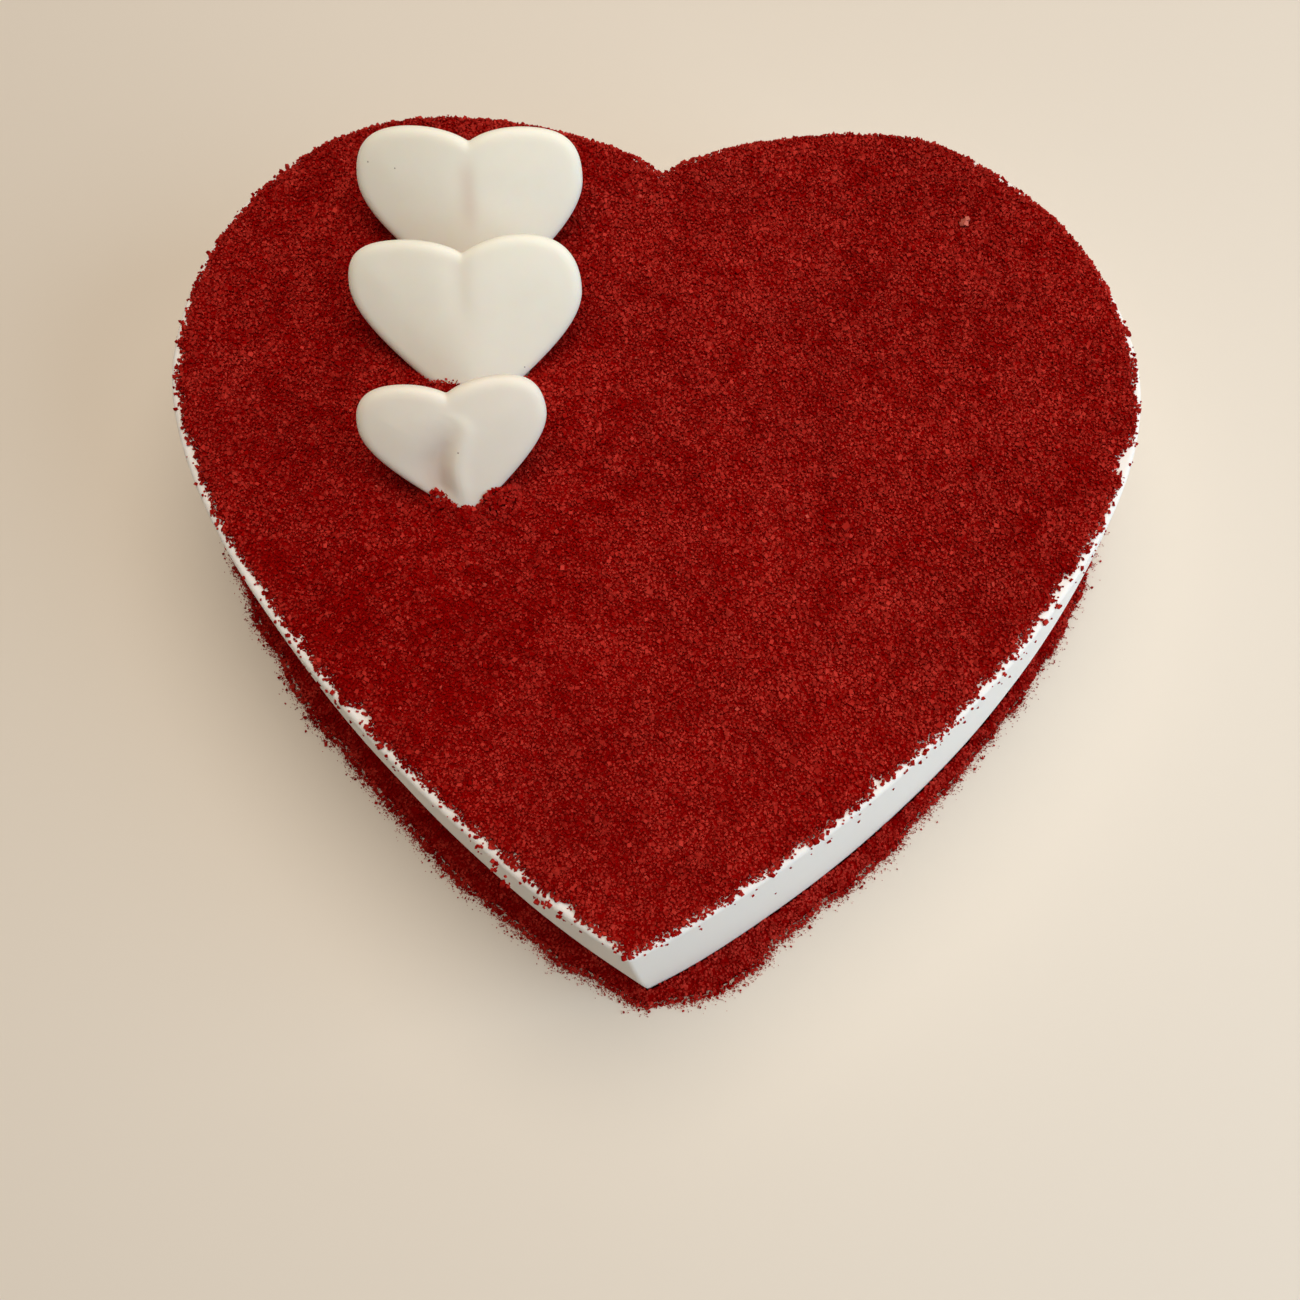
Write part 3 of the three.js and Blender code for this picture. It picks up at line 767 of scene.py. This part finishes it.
# %% Single crumbs on the rim and on the wall
LOOSE_SIZE_SPREAD = 0.3
LIGHTEST_ON_RIM, LIGHTEST_ON_WALL = 0.7, 0.6
RIM_SINGLES, RIM_SINGLE_SIZE, RIM_SINGLE_REACH, RIM_SINGLE_STRAY = 560, 0.58, 0.7, 0.5
SUNK_IN_CREAM = 0.3
WALL_CRUMBS, WALL_CRUMB_SIZE, WALL_CRUMB_DROP, LOWEST_ON_WALL = 110, 0.52, 3.0, 8.0


def rim_singles(rng):
    """Crumbs just past the ragged edge, on the bare cream of the rim."""
    picked = rng.integers(0, len(crumb_ring), RIM_SINGLES)
    start = crumb_ring[picked]
    reach = crumb_reach(start)
    past = reach + rng.exponential(RIM_SINGLE_REACH, RIM_SINGLES)
    spots = start + ring_out[picked] * past[:, None] + rng.normal(0, RIM_SINGLE_STRAY, start.shape)
    creams = cream_height(spots)
    found = creams > CREAM_HEIGHT - RIM_RADIUS
    spots, creams = spots[found], creams[found]
    sizes = crumb_sizes(len(spots), rng, RIM_SINGLE_SIZE, LOOSE_SIZE_SPREAD)
    tones = rng.uniform(0, LIGHTEST_ON_RIM, len(spots))
    return np.column_stack([spots, creams + SUNK_IN_CREAM * sizes, sizes, tones])


def wall_crumbs(rng):
    """Crumbs that stick to the wall, most of them just under the rim."""
    picked = rng.integers(0, len(crumb_ring), WALL_CRUMBS)
    heights = np.clip(wall_height - rng.exponential(WALL_CRUMB_DROP, WALL_CRUMBS), LOWEST_ON_WALL, None)
    spots = crumb_ring[picked] + ring_out[picked] * wall_flare(heights)[:, None]
    spots[:, 0] += wall_shift(spots, heights)
    sizes = crumb_sizes(WALL_CRUMBS, rng, WALL_CRUMB_SIZE, LOOSE_SIZE_SPREAD)
    return np.column_stack([spots, heights, sizes, rng.uniform(0, LIGHTEST_ON_WALL, WALL_CRUMBS)])


# %% Mounds, clumps and specks of crumbs
# Each mound's place, radius and height.
NECK_MOUNDS = (
    (-45.0, -15.8, 5.8, 5.0), (-42.2, -17.9, 3.6, 3.6), (-39.3, -19.6, 3.6, 2.9), (-33.4, -16.0, 6.0, 5.0),
    (-36.2, -18.2, 3.0, 2.6),
)
CRUMBS_IN_A_MOUND = 800
MOUND_FILLED_FROM = 0.8
# Little clumps that hang over the rim of the left flank, and crumbs on the right flank's wall.
RIM_CLUMPS = ((-31.8, -91.8), (-28.4, -95.7), (-25.2, -98.5), (-18.2, -102.4), (-14.3, -104.4))
CRUMBS_IN_A_CLUMP, CLUMP_WIDTH, CLUMP_RISE = 7, 0.6, 0.2
CLUMP_CRUMB_SIZE, CLUMP_SIZE_SPREAD = 0.62, 0.25
WALL_SPECKS = ((40.0, -87.2), (50.2, -75.9), (51.8, -75.8))
WALL_SPECK_HEIGHT, WALL_SPECK_SIZE, WALL_SPECK_TONE = 55.0, 0.8, 0.3


def rim_clump(x, y, rng):
    """A few crumbs that cling together on the rim."""
    middle = [*(OUTLINE_ORIGIN + [x, y]), CREAM_HEIGHT + CLUMP_RISE]
    places = rng.normal(0, CLUMP_WIDTH, (CRUMBS_IN_A_CLUMP, 3)) + middle
    sizes = crumb_sizes(CRUMBS_IN_A_CLUMP, rng, CLUMP_CRUMB_SIZE, CLUMP_SIZE_SPREAD)
    return np.column_stack([places, sizes, rng.uniform(0, LIGHTEST_ON_RIM, CRUMBS_IN_A_CLUMP)])


def wall_speck(x, y):
    return [[*(OUTLINE_ORIGIN + [x, y]), WALL_SPECK_HEIGHT, WALL_SPECK_SIZE, WALL_SPECK_TONE]]


def mound(x, y, radius, height, rng):
    """A small dome of crumbs on the layer, in front of the front heart."""
    angle = rng.uniform(0, 2 * np.pi, CRUMBS_IN_A_MOUND)
    away = radius * np.sqrt(rng.uniform(0, 1, CRUMBS_IN_A_MOUND))
    spots = OUTLINE_ORIGIN + [x, y] + (away * [np.cos(angle), np.sin(angle)]).T
    ground = layer_middle[2]
    filled = rng.uniform(MOUND_FILLED_FROM, 1, CRUMBS_IN_A_MOUND)
    heights = ground + height * (1 - (away / radius) ** 2) * filled
    sizes = crumb_sizes(CRUMBS_IN_A_MOUND, rng)
    in_front = heights > np.nan_to_num(front_heart_height(spots), nan=0)
    return np.column_stack([spots, heights, sizes, crumb_tones(spots, rng)])[in_front]


# %% The loose crumbs
PALE_LUMP, LUMP_CRUMBS, LUMP_CRUMB_SIZE, LUMP_TONE = (69.2, 53.6), 5, 1.3, 1.55
LUMP_WIDTH, LUMP_RISE = 0.45, 0.5
front_heart_height = height_finder("heart_front")
loose_rng = np.random.default_rng(53)
lump_spot = OUTLINE_ORIGIN + PALE_LUMP
lump_height = packed_layer_height(lump_spot[None])[0] + LUMP_RISE
lump_places = loose_rng.normal(0, LUMP_WIDTH, (LUMP_CRUMBS, 3)) + [*lump_spot, lump_height]
lump = np.column_stack([lump_places, np.tile([LUMP_CRUMB_SIZE, LUMP_TONE], (LUMP_CRUMBS, 1))])
loose = np.vstack([
    rim_singles(loose_rng), wall_crumbs(loose_rng), lump,
    *[mound(*place, loose_rng) for place in NECK_MOUNDS],
    *[rim_clump(*place, loose_rng) for place in RIM_CLUMPS], *[wall_speck(*place) for place in WALL_SPECKS],
])
scatter("crumbs_loose", loose, "block", crumb_red, 110)

# %% [markdown]
# ## The crumbs round the foot
# They were pressed against the foot by hand and slope down outwards, thick near the tip and thin towards the
# lobes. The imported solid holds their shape, so a merged copy of it, drawn in a little and roughened, is the
# bed, and crumbs are spread over its outer faces. Past its edge they thin out to dust.

# %% The bed round the foot
FOOT_BED_INSET = 0.4
FOOT_BED_THINNED = 1.1
FOOT_BED_RELIEF = 0.2
BESIDE_THE_WALL = 0.7
TUCKED_UNDER = 0.9
FOOT_BED_CUTS = 2
MERGED_WITHIN = 0.01
THINNED_BELOW = 1.0
ON_THE_GROUND, LOWEST_ABOVE_IT = 0.3, 0.05


def foot_bed(rng):
    shape = bmesh.new()
    shape.from_mesh(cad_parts["crumb_foot"].data)
    bmesh.ops.scale(shape, vec=(1 / MM, 1 / MM, 1 / MM), verts=shape.verts)
    bmesh.ops.remove_doubles(shape, verts=shape.verts, dist=MERGED_WITHIN)
    bmesh.ops.subdivide_edges(shape, edges=shape.edges, cuts=FOOT_BED_CUTS, use_grid_fill=True)
    shape.normal_update()
    places = np.array([vert.co for vert in shape.verts])
    normals = np.array([vert.normal for vert in shape.verts])
    outward = ring_out[nearest_on_line(places[:, :2])]
    beside_wall = outside_line(places[:, :2]) - wall_flare(places[:, 2]) < BESIDE_THE_WALL
    inset = FOOT_BED_INSET + rng.uniform(-FOOT_BED_RELIEF, FOOT_BED_RELIEF, len(places))
    moved = places - normals * inset[:, None]
    moved[beside_wall, :2] = places[beside_wall, :2] - TUCKED_UNDER * outward[beside_wall]
    low = (places[:, 2] < THINNED_BELOW) & ~beside_wall
    moved[low, :2] -= FOOT_BED_THINNED * outward[low]
    moved[:, 2] = np.where(places[:, 2] > ON_THE_GROUND, np.maximum(moved[:, 2], LOWEST_ABOVE_IT), 0)
    for vert, place in zip(shape.verts, moved):
        vert.co = place
    return shape


foot = finish_piece("foot_bed", foot_bed(np.random.default_rng(41)), crumb_red)
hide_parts("crumb_foot")

# %% The crumbs on the heap round the foot
FOOT_CRUMBS, FOOT_CRUMB_SIZE, FOOT_CRUMB_SPREAD = 17000, 0.64, 0.22
FOOT_CRUMB_DEEPEST, FOOT_CRUMB_HIGHEST = -0.35, 0.2
FACES_UP_FROM = 0.05
# A crumb on the ground has its middle this share of its size above it.
LYING = 0.4
# The heap was pressed by hand, so it is darker and lighter in clumps of a few millimetres.
FOOT_TONE_DRIFT, FOOT_DRIFT_SIZE = 0.6, 2.4


def foot_triangles():
    """Corners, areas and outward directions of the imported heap's triangles."""
    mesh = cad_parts["crumb_foot"].data
    mesh.calc_loop_triangles()
    corners = np.array([[mesh.vertices[i].co for i in t.vertices] for t in mesh.loop_triangles]) / MM
    cross = np.cross(corners[:, 1] - corners[:, 0], corners[:, 2] - corners[:, 0])
    area = np.linalg.norm(cross, axis=1) / 2
    return corners, area, cross / (2 * area[:, None] + 1e-12)


def foot_crumbs(rng):
    corners, area, out = foot_triangles()
    showing = out[:, 2] > FACES_UP_FROM
    corners, area, out = corners[showing], area[showing], out[showing]
    pick = rng.choice(len(area), FOOT_CRUMBS, p=area / area.sum())
    u, v = rng.uniform(0, 1, (2, FOOT_CRUMBS))
    over = u + v > 1
    u[over], v[over] = 1 - u[over], 1 - v[over]
    c = corners[pick]
    places = c[:, 0] + u[:, None] * (c[:, 1] - c[:, 0]) + v[:, None] * (c[:, 2] - c[:, 0])
    sizes = crumb_sizes(FOOT_CRUMBS, rng, FOOT_CRUMB_SIZE, FOOT_CRUMB_SPREAD)
    places += out[pick] * rng.uniform(FOOT_CRUMB_DEEPEST, FOOT_CRUMB_HIGHEST, FOOT_CRUMBS)[:, None]
    places[:, 2] = np.maximum(places[:, 2], LYING * sizes)
    clumps = FOOT_TONE_DRIFT * noise_at(places[:, :2], FOOT_DRIFT_SIZE, 9.6)
    return np.column_stack([places, sizes, np.clip(crumb_tones(places[:, :2], rng) + clumps, 0, 1)])


foot_rng = np.random.default_rng(17)
scatter("foot_crumbs", foot_crumbs(foot_rng), "flake", crumb_red, 201)

# %% Single crumbs and dust past the edge of the heap
# How many, how far out, their size and its spread.
FRINGE = dict(count=1300, width=1.5, size=0.5, spread=0.3)
DUST = dict(count=34000, width=1.3, size=0.28, spread=0.25)
FRINGE_SIZE_LIMITS = (0.15, 1.3)
FRINGE_STARTS_INSIDE, FRINGE_STRAY = 1.0, 0.3
SPARSE_SIDE_SHARE = 0.65
BOX_MARGIN = 2.5
HEAP_EDGE_PAST_WALL = 1.5
HEAP_EDGE_POINTS = 2000


def heap_edge():
    """The heap's outer edge on the ground as one closed line."""
    corners, _, _ = foot_triangles()
    ground = corners.reshape(-1, 3)
    spots = np.unique(ground[np.abs(ground[:, 2]) < MERGED_WITHIN][:, :2].round(3), axis=0)
    outer = spots[outside_line(spots) > FOOT_FLARE + HEAP_EDGE_PAST_WALL]
    x, y = (outer - OUTLINE_ORIGIN).T
    line = outer[np.argsort(np.arctan2(y, x))]
    return np.vstack([line, line[:1]])


def fringe(count, width, size, spread, rng):
    """Single crumbs past the edge of the heap, fewer the further out."""
    line = evenly(heap_edge(), HEAP_EDGE_POINTS)
    picked = rng.integers(0, len(line), count)
    on_right = line[picked, 0] > OUTLINE_ORIGIN[0]
    picked = picked[~on_right | (rng.uniform(0, 1, count) < SPARSE_SIDE_SHARE)]
    outward = ring_out[nearest_on_line(line[picked])]
    away = width * np.abs(rng.normal(0, 1, len(picked))) - FRINGE_STARTS_INSIDE
    spots = line[picked] + outward * away[:, None] + rng.normal(0, FRINGE_STRAY, (len(picked), 2))
    low, high = (np.array(corner)[:2] / MM for corner in packed_box)
    spots = np.clip(spots, low - BOX_MARGIN, high + BOX_MARGIN)
    sizes = np.clip(crumb_sizes(len(picked), rng, size, spread), *FRINGE_SIZE_LIMITS)
    return np.column_stack([spots, LYING * sizes, sizes, crumb_tones(spots, rng)])


scatter("fringe_crumbs", fringe(**FRINGE, rng=foot_rng), "block", crumb_red, 202)
scatter("crumb_dust", fringe(**DUST, rng=foot_rng), "splinter", crumb_red, 203)
print(scattered_triangles, "triangles in all the scattered crumbs")

# %% [markdown]
# ## The sugar-paste hearts
# Each heart was cut from rolled paste, its rim was rounded with a finger, and it dried over a form, so it is
# bent back a little towards both sides. Fingers left shallow presses: a thumb's dent beside a curved ridge
# in the front one, a crease under the notch of the others. A heart is lofted from rings, over the back,
# round the rim and inwards across the face, whose height is a smooth function of the place. It is made lying
# flat, with its tip at the origin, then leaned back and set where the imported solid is.

# %% Sizes of the sugar hearts
PLAQUE = dict(
    notch_y=38.2, notch_rise=35, notch_reach=3.5,
    lobe_x=14.2, lobe_y=42.1, lobe_reach_in=6, lobe_reach_out=7.4,
    wide_x=25.3, wide_y=31.5, wide_reach_up=7.4, wide_reach_down=10,
    tip_y=0, tip_half_angle=40, tip_reach=11,
)
MIDDLE_LEFT = dict(PLAQUE, lobe_x=14.6, lobe_y=41.7, wide_x=26.1, wide_y=33.0)
MIDDLE_RIGHT = dict(PLAQUE, lobe_y=42.7)
BACK_LEFT = dict(PLAQUE, notch_y=37.8, lobe_x=15.0, lobe_y=41.6, wide_x=26.3)
BACK_RIGHT = dict(PLAQUE, notch_y=37.8, lobe_x=13.8, lobe_y=41.4, wide_x=24.3)
PLAQUE_MIDDLE = np.array([0, 25.3])
PLAQUE_POINTS = 80
# How far the front and the back stand from the widest line of the rim, and how far in each is rounded.
FRONT_DEPTH, BACK_DEPTH = 1.8, 1.4
FRONT_ROUNDING, BACK_ROUNDING = 2.7, 1.2
ROUNDNESS = 2.5
PLAQUE_CROWN, CROWN_WIDTH = 0.5, 6.0
FRONT_INSETS = (0.06, 0.2, 0.45, 0.8, 1.25, 1.8, 2.5, 3.5)
BACK_INSETS = (1.2, 0.7, 0.35, 0.12, 0)
PLAQUE_SHARES = np.linspace(0.96, 0.04, 22)
BULGE_RADIUS = 210.0
FOLD_RADIUS = 5.0
LEVEL_AT = 18.0
DROOP = 0.6

# A press is a shallow dent: its middle, how wide it is to the left, right, down and up, its depth and how
# much pink is in it. The whole front heart is tinted a little darker, as painted shade.
SUGAR_HEARTS = (
    dict(node="heart_back", right=BACK_RIGHT, left=BACK_LEFT, scale=1.0, lean=47, turn=0.8, fold=0.10,
         painted_shade=0.0, presses=(
             dict(at=(-0.6, 29.5), left=2.2, right=1.8, down=8.0, up=5.5, depth=0.12, stain_and_shade=0.2),
         )),
    dict(node="heart_middle", right=MIDDLE_RIGHT, left=MIDDLE_LEFT, scale=0.992, lean=45, turn=1.9,
         fold=0.09, painted_shade=0.0, presses=(
             dict(at=(-0.9, 33.5), left=2.7, right=2.4, down=9.0, up=6.0, depth=0.34, stain_and_shade=0.05),
         )),
    dict(node="heart_front", right=PLAQUE, left=PLAQUE, scale=0.785, lean=50, turn=8.0, fold=0.07,
         painted_shade=0.12, presses=()),
)

# %% [markdown]
# ### The finish of the hearts
# Sugar paste is powdered sugar and gelatine: ivory white, matt with a slight silk, and a little light goes
# through it at the thin rim. A faint mottling stays from dusting it with starch, and here and there a pinhole
# is painted as a dark dot of shade. A number on each point of the mesh mixes in pink-brown: a tint in the
# presses, and painted shade in the front heart's dent and all over the front heart.

# %% Rolled sugar paste
MOTTLE_SIZE = 9.0
POWDER_SIZE = 0.5
PINHOLE_SPACING = 7.0
PINHOLE_RADIUS = 0.22


def sugar_paste(tree, place):
    mottle = add_node(tree, "TexNoise", {"Vector": place, "Scale": 1 / (MOTTLE_SIZE * MM), "Detail": 3.0})
    powder = add_node(tree, "TexNoise", {"Vector": place, "Scale": 1 / (POWDER_SIZE * MM), "Detail": 2.0})
    # Pinholes are painted as dark dots of shade; the mesh has no holes.
    cells = add_node(tree, "TexVoronoi", {"Vector": place, "Scale": 1 / (PINHOLE_SPACING * MM)})
    pinhole_shade = add_node(tree, "MapRange", {
        "Value": cells, "From Min": 0.5 * PINHOLE_RADIUS / PINHOLE_SPACING,
        "From Max": PINHOLE_RADIUS / PINHOLE_SPACING, "To Min": 1.0, "To Max": 0.0,
    })
    tint = add_node(tree, "Mix", {
        "Factor": mottle, "A": linear("#f1ecdb"), "B": linear("#f6f3e5"),
    }, data_type="RGBA")
    pinhole_shaded = add_node(tree, "Mix", {
        "Factor": pinhole_shade, "A": tint, "B": linear("#8d7f6c"),
    }, data_type="RGBA")
    # The number on each point mixes in pink-brown: a tint in the presses, painted shade on the front heart
    # and in its dent.
    stain_and_shade = add_node(tree, "Attribute", attribute_name="stain_and_shade", attribute_type="GEOMETRY").outputs["Fac"]
    stain_and_shade_mix = add_node(tree, "Mix", {
        "Factor": stain_and_shade, "A": pinhole_shaded, "B": linear("#b5745c"),
    }, data_type="RGBA")
    bump = add_node(tree, "Bump", {"Height": powder, "Strength": 0.12, "Distance": 0.05 * MM})
    return add_node(tree, "BsdfPrincipled", {
        "Base Color": stain_and_shade_mix, "Normal": bump,
        "Roughness": 0.55, "IOR": 1.45, "Specular IOR Level": 0.3,
        "Subsurface Weight": 0.4, "Subsurface Radius": (1.0, 0.75, 0.5), "Subsurface Scale": 2.0 * MM,
    })


sugar = new_material("rolled_sugar_paste", sugar_paste)

# %% Rounded rims and pressed places


def edge_gap(spots, outline):
    """The distance from each spot to the outline, a closed line of points."""
    run = np.roll(outline, -1, axis=0) - outline
    along = ((spots[:, None, :] - outline) * run).sum(axis=2) / (run ** 2).sum(axis=1)
    foot = outline + np.clip(along, 0, 1)[:, :, None] * run
    return np.linalg.norm(spots[:, None, :] - foot, axis=2).min(axis=1)


def rounded(gap, width):
    """Rises from 0 at the rim to 1 at a distance in from it, steeply at first."""
    rest = 1 - np.clip(gap / width, 0, 1)
    return (1 - rest ** ROUNDNESS) ** (1 / ROUNDNESS)


def pressed(spots, press):
    """How strongly a press acts at each spot, from 0 to 1."""
    across, up = (spots - press["at"]).T
    width = np.where(across < 0, press["left"], press["right"])
    length = np.where(up < 0, press["down"], press["up"])
    return np.exp(-(across / width) ** 2 - (up / length) ** 4)


# %% The thumb's dent and the ridge of the front heart
# The dent ends on its right in a curved ridge, whose crest lies so far across at each height.
CREST_UP = (2.0, 13.0, 16.1, 20.2, 23.9, 26.3, 27.6, 29.0)
CREST_ACROSS = (-0.8, -0.8, -0.2, 1.9, 2.3, 0.2, -3.4, -8.0)
CREST_EASED_OVER = 1.6
DENT_DEPTH, DENT_WALL, DENT_WIDTH = 1.35, 4.2, 5.2
DENT_FROM, DENT_FULL_FROM, DENT_FULL_TO, DENT_TO = 4.0, 10.0, 15.0, 26.0
# The dent is tinted pink-brown as painted shade, for the warm shade and red bounce in it.
DENT_PAINTED_SHADE = 0.2
RIDGE_HEIGHT, RIDGE_PLACE, RIDGE_WIDTH, RIDGE_FULL_TO, RIDGE_TO = 0.3, 0.9, 1.7, 22.0, 28.0


def from_crest(spots):
    """How far to the right of the ridge's crest each spot lies."""
    across, up = spots.T
    nearby = (up - CREST_EASED_OVER, up, up + CREST_EASED_OVER)
    return across - sum(np.interp(at, CREST_UP, CREST_ACROSS) for at in nearby) / len(nearby)


def strength_up(up, full_to, gone_at):
    """How strong the dent or the ridge is at each height. Both start at the same one."""
    return ease(up, DENT_FROM, DENT_FULL_FROM) * (1 - ease(up, full_to, gone_at))


def dented(spots):
    """How deep the thumb's dent is at each spot, from 0 to 1: a wall by the crest, then a slow rise."""
    away, strength = from_crest(spots), strength_up(spots[:, 1], DENT_FULL_TO, DENT_TO)
    past_wall = np.maximum(-away - DENT_WALL, 0) / DENT_WIDTH
    return strength * ease(-away, 0, DENT_WALL) * np.exp(-past_wall ** 2)


def ridged(spots):
    away, strength = from_crest(spots), strength_up(spots[:, 1], RIDGE_FULL_TO, RIDGE_TO)
    return strength * np.exp(-((away - RIDGE_PLACE) / RIDGE_WIDTH) ** 2)


# %% The rings of a sugar heart


def face_height(spots, gap, heart):
    """How far the face stands in front of the rim."""
    crown = PLAQUE_CROWN * (1 - np.exp(-(gap / CROWN_WIDTH) ** 2))
    height = FRONT_DEPTH * rounded(gap, FRONT_ROUNDING) + crown
    relief = -sum(press["depth"] * pressed(spots, press) for press in heart["presses"])
    if heart["node"] == "heart_front":
        relief += RIDGE_HEIGHT * ridged(spots) - DENT_DEPTH * dented(spots)
    return height + relief * rounded(gap, FRONT_ROUNDING)


def sag(across, heart):
    """How far a heart's sides lie back, by its bulge and by the soft fold along its axis."""
    fold = np.sqrt(across ** 2 + FOLD_RADIUS ** 2) - FOLD_RADIUS
    return across ** 2 / (2 * BULGE_RADIUS) + heart["fold"] * fold


def bent_back(points, heart):
    back = sag(points[:, 0], heart) - sag(LEVEL_AT * heart["scale"], heart)
    return points - np.column_stack([np.zeros(len(points)), DROOP * back, back])


def plaque_rings(heart):
    """The rings of a heart that lies flat, from the middle of its back round the rim to its face."""
    outline = heart_ring(heart["right"], heart["left"], 0, PLAQUE_POINTS) * heart["scale"]
    middle = PLAQUE_MIDDLE * heart["scale"]
    arm = outline - middle
    length = np.linalg.norm(arm, axis=1)[:, None]

    def ring(inset, share, on_face):
        spots = middle + arm / length * (length - inset) * share
        gap = edge_gap(spots, outline)
        height = face_height(spots, gap, heart) if on_face else -BACK_DEPTH * rounded(gap, BACK_ROUNDING)
        return np.column_stack([spots, height])

    return [
        *[ring(BACK_INSETS[0], share, False) for share in PLAQUE_SHARES[::-1]],
        *[ring(inset, 1, False) for inset in BACK_INSETS],
        *[ring(inset, 1, True) for inset in FRONT_INSETS],
        *[ring(FRONT_INSETS[-1], share, True) for share in PLAQUE_SHARES],
    ]


# %% The sugar hearts


def sugar_heart(heart):
    """Lofts a heart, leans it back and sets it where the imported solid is."""
    flat = plaque_rings(heart)
    lean = Euler((np.radians(heart["lean"]), 0, np.radians(heart["turn"]))).to_matrix()
    corners = np.vstack(flat) @ np.array(lean).T
    low, high = (np.array(corner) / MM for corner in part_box(heart["node"]))
    move = (low + high) / 2 - (corners.min(axis=0) + corners.max(axis=0)) / 2
    shape = loft([bent_back(ring, heart) for ring in flat])
    stain_and_shade = shape.verts.layers.float.new("stain_and_shade")
    spots = np.array([vert.co.xy for vert in shape.verts])
    # How much pink-brown each point gets: painted shade over the front heart and in its dent, a tint in the
    # presses.
    stain_and_shade_amount = np.full(len(spots), heart["painted_shade"])
    stain_and_shade_amount += sum(press["stain_and_shade"] * pressed(spots, press) for press in heart["presses"])
    if heart["node"] == "heart_front":
        stain_and_shade_amount += DENT_PAINTED_SHADE * dented(spots)
    for vert, amount in zip(shape.verts, stain_and_shade_amount):
        vert[stain_and_shade] = amount if vert.co.z > 0 else 0.0
    bmesh.ops.rotate(shape, matrix=lean, verts=shape.verts)
    bmesh.ops.translate(shape, vec=move, verts=shape.verts)
    piece = finish_piece("sugar_" + heart["node"], shape, sugar)
    smooth = piece.modifiers.new("smooth", "SUBSURF")
    smooth.levels = 1
    smooth.render_levels = 1
    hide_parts(heart["node"])


for heart in SUGAR_HEARTS:
    sugar_heart(heart)

# %% [markdown]
# ## The studio
# A plain pale floor, a broad warm light overhead, a cool window to the right, a little warm light from the
# left and a faint sky make one wall cool and bright and the other warm and in shade, with soft shadows.

# %% Floor
FLOOR_SIZE = 3.0

floor_shape = bmesh.new()
bmesh.ops.create_grid(floor_shape, x_segments=1, y_segments=1, size=FLOOR_SIZE)
floor_mesh = bpy.data.meshes.new("studio_floor")
floor_shape.to_mesh(floor_mesh)
floor_shape.free()
floor_material = bpy.data.materials.new("matt_pale_card")
floor_material.use_nodes = True
card = floor_material.node_tree.nodes["Principled BSDF"]
card.inputs["Base Color"].default_value = linear("#e3d9ca")
card.inputs["Roughness"].default_value = 0.7
floor_mesh.materials.append(floor_material)
floor = add_object("studio_floor", floor_mesh)

# %% Lights
bpy.context.scene.view_settings.view_transform = "Standard"

# Each light's name, place in metres, size, power and colour.
LIGHTS = (
    ("window", (0.9, -0.25, 0.5), 1.0, 7.9, "#d5ebff"),
    ("ceiling", (0.08, 0.2, 1.2), 1.2, 12.7, "#fff2e3"),
    ("room", (-0.8, -0.6, 0.6), 1.0, 0.15, "#ffe3c3"),
)
SKY_COLOUR, SKY_STRENGTH = "#f4efe9", 0.1

for name, place, size, power, colour in LIGHTS:
    data = bpy.data.lights.new(name, "AREA")
    data.shape = "DISK"
    data.size = size
    data.energy = power
    data.color = linear(colour)[:3]
    light = add_object(name, data)
    light.location = place
    light.rotation_euler = (-Vector(place)).to_track_quat("-Z", "Y").to_euler()
world = bpy.data.worlds.new("pale_room")
bpy.context.scene.world = world
world.use_nodes = True
sky = world.node_tree.nodes["Background"]
sky.inputs["Color"].default_value = linear(SKY_COLOUR)
sky.inputs["Strength"].default_value = SKY_STRENGTH
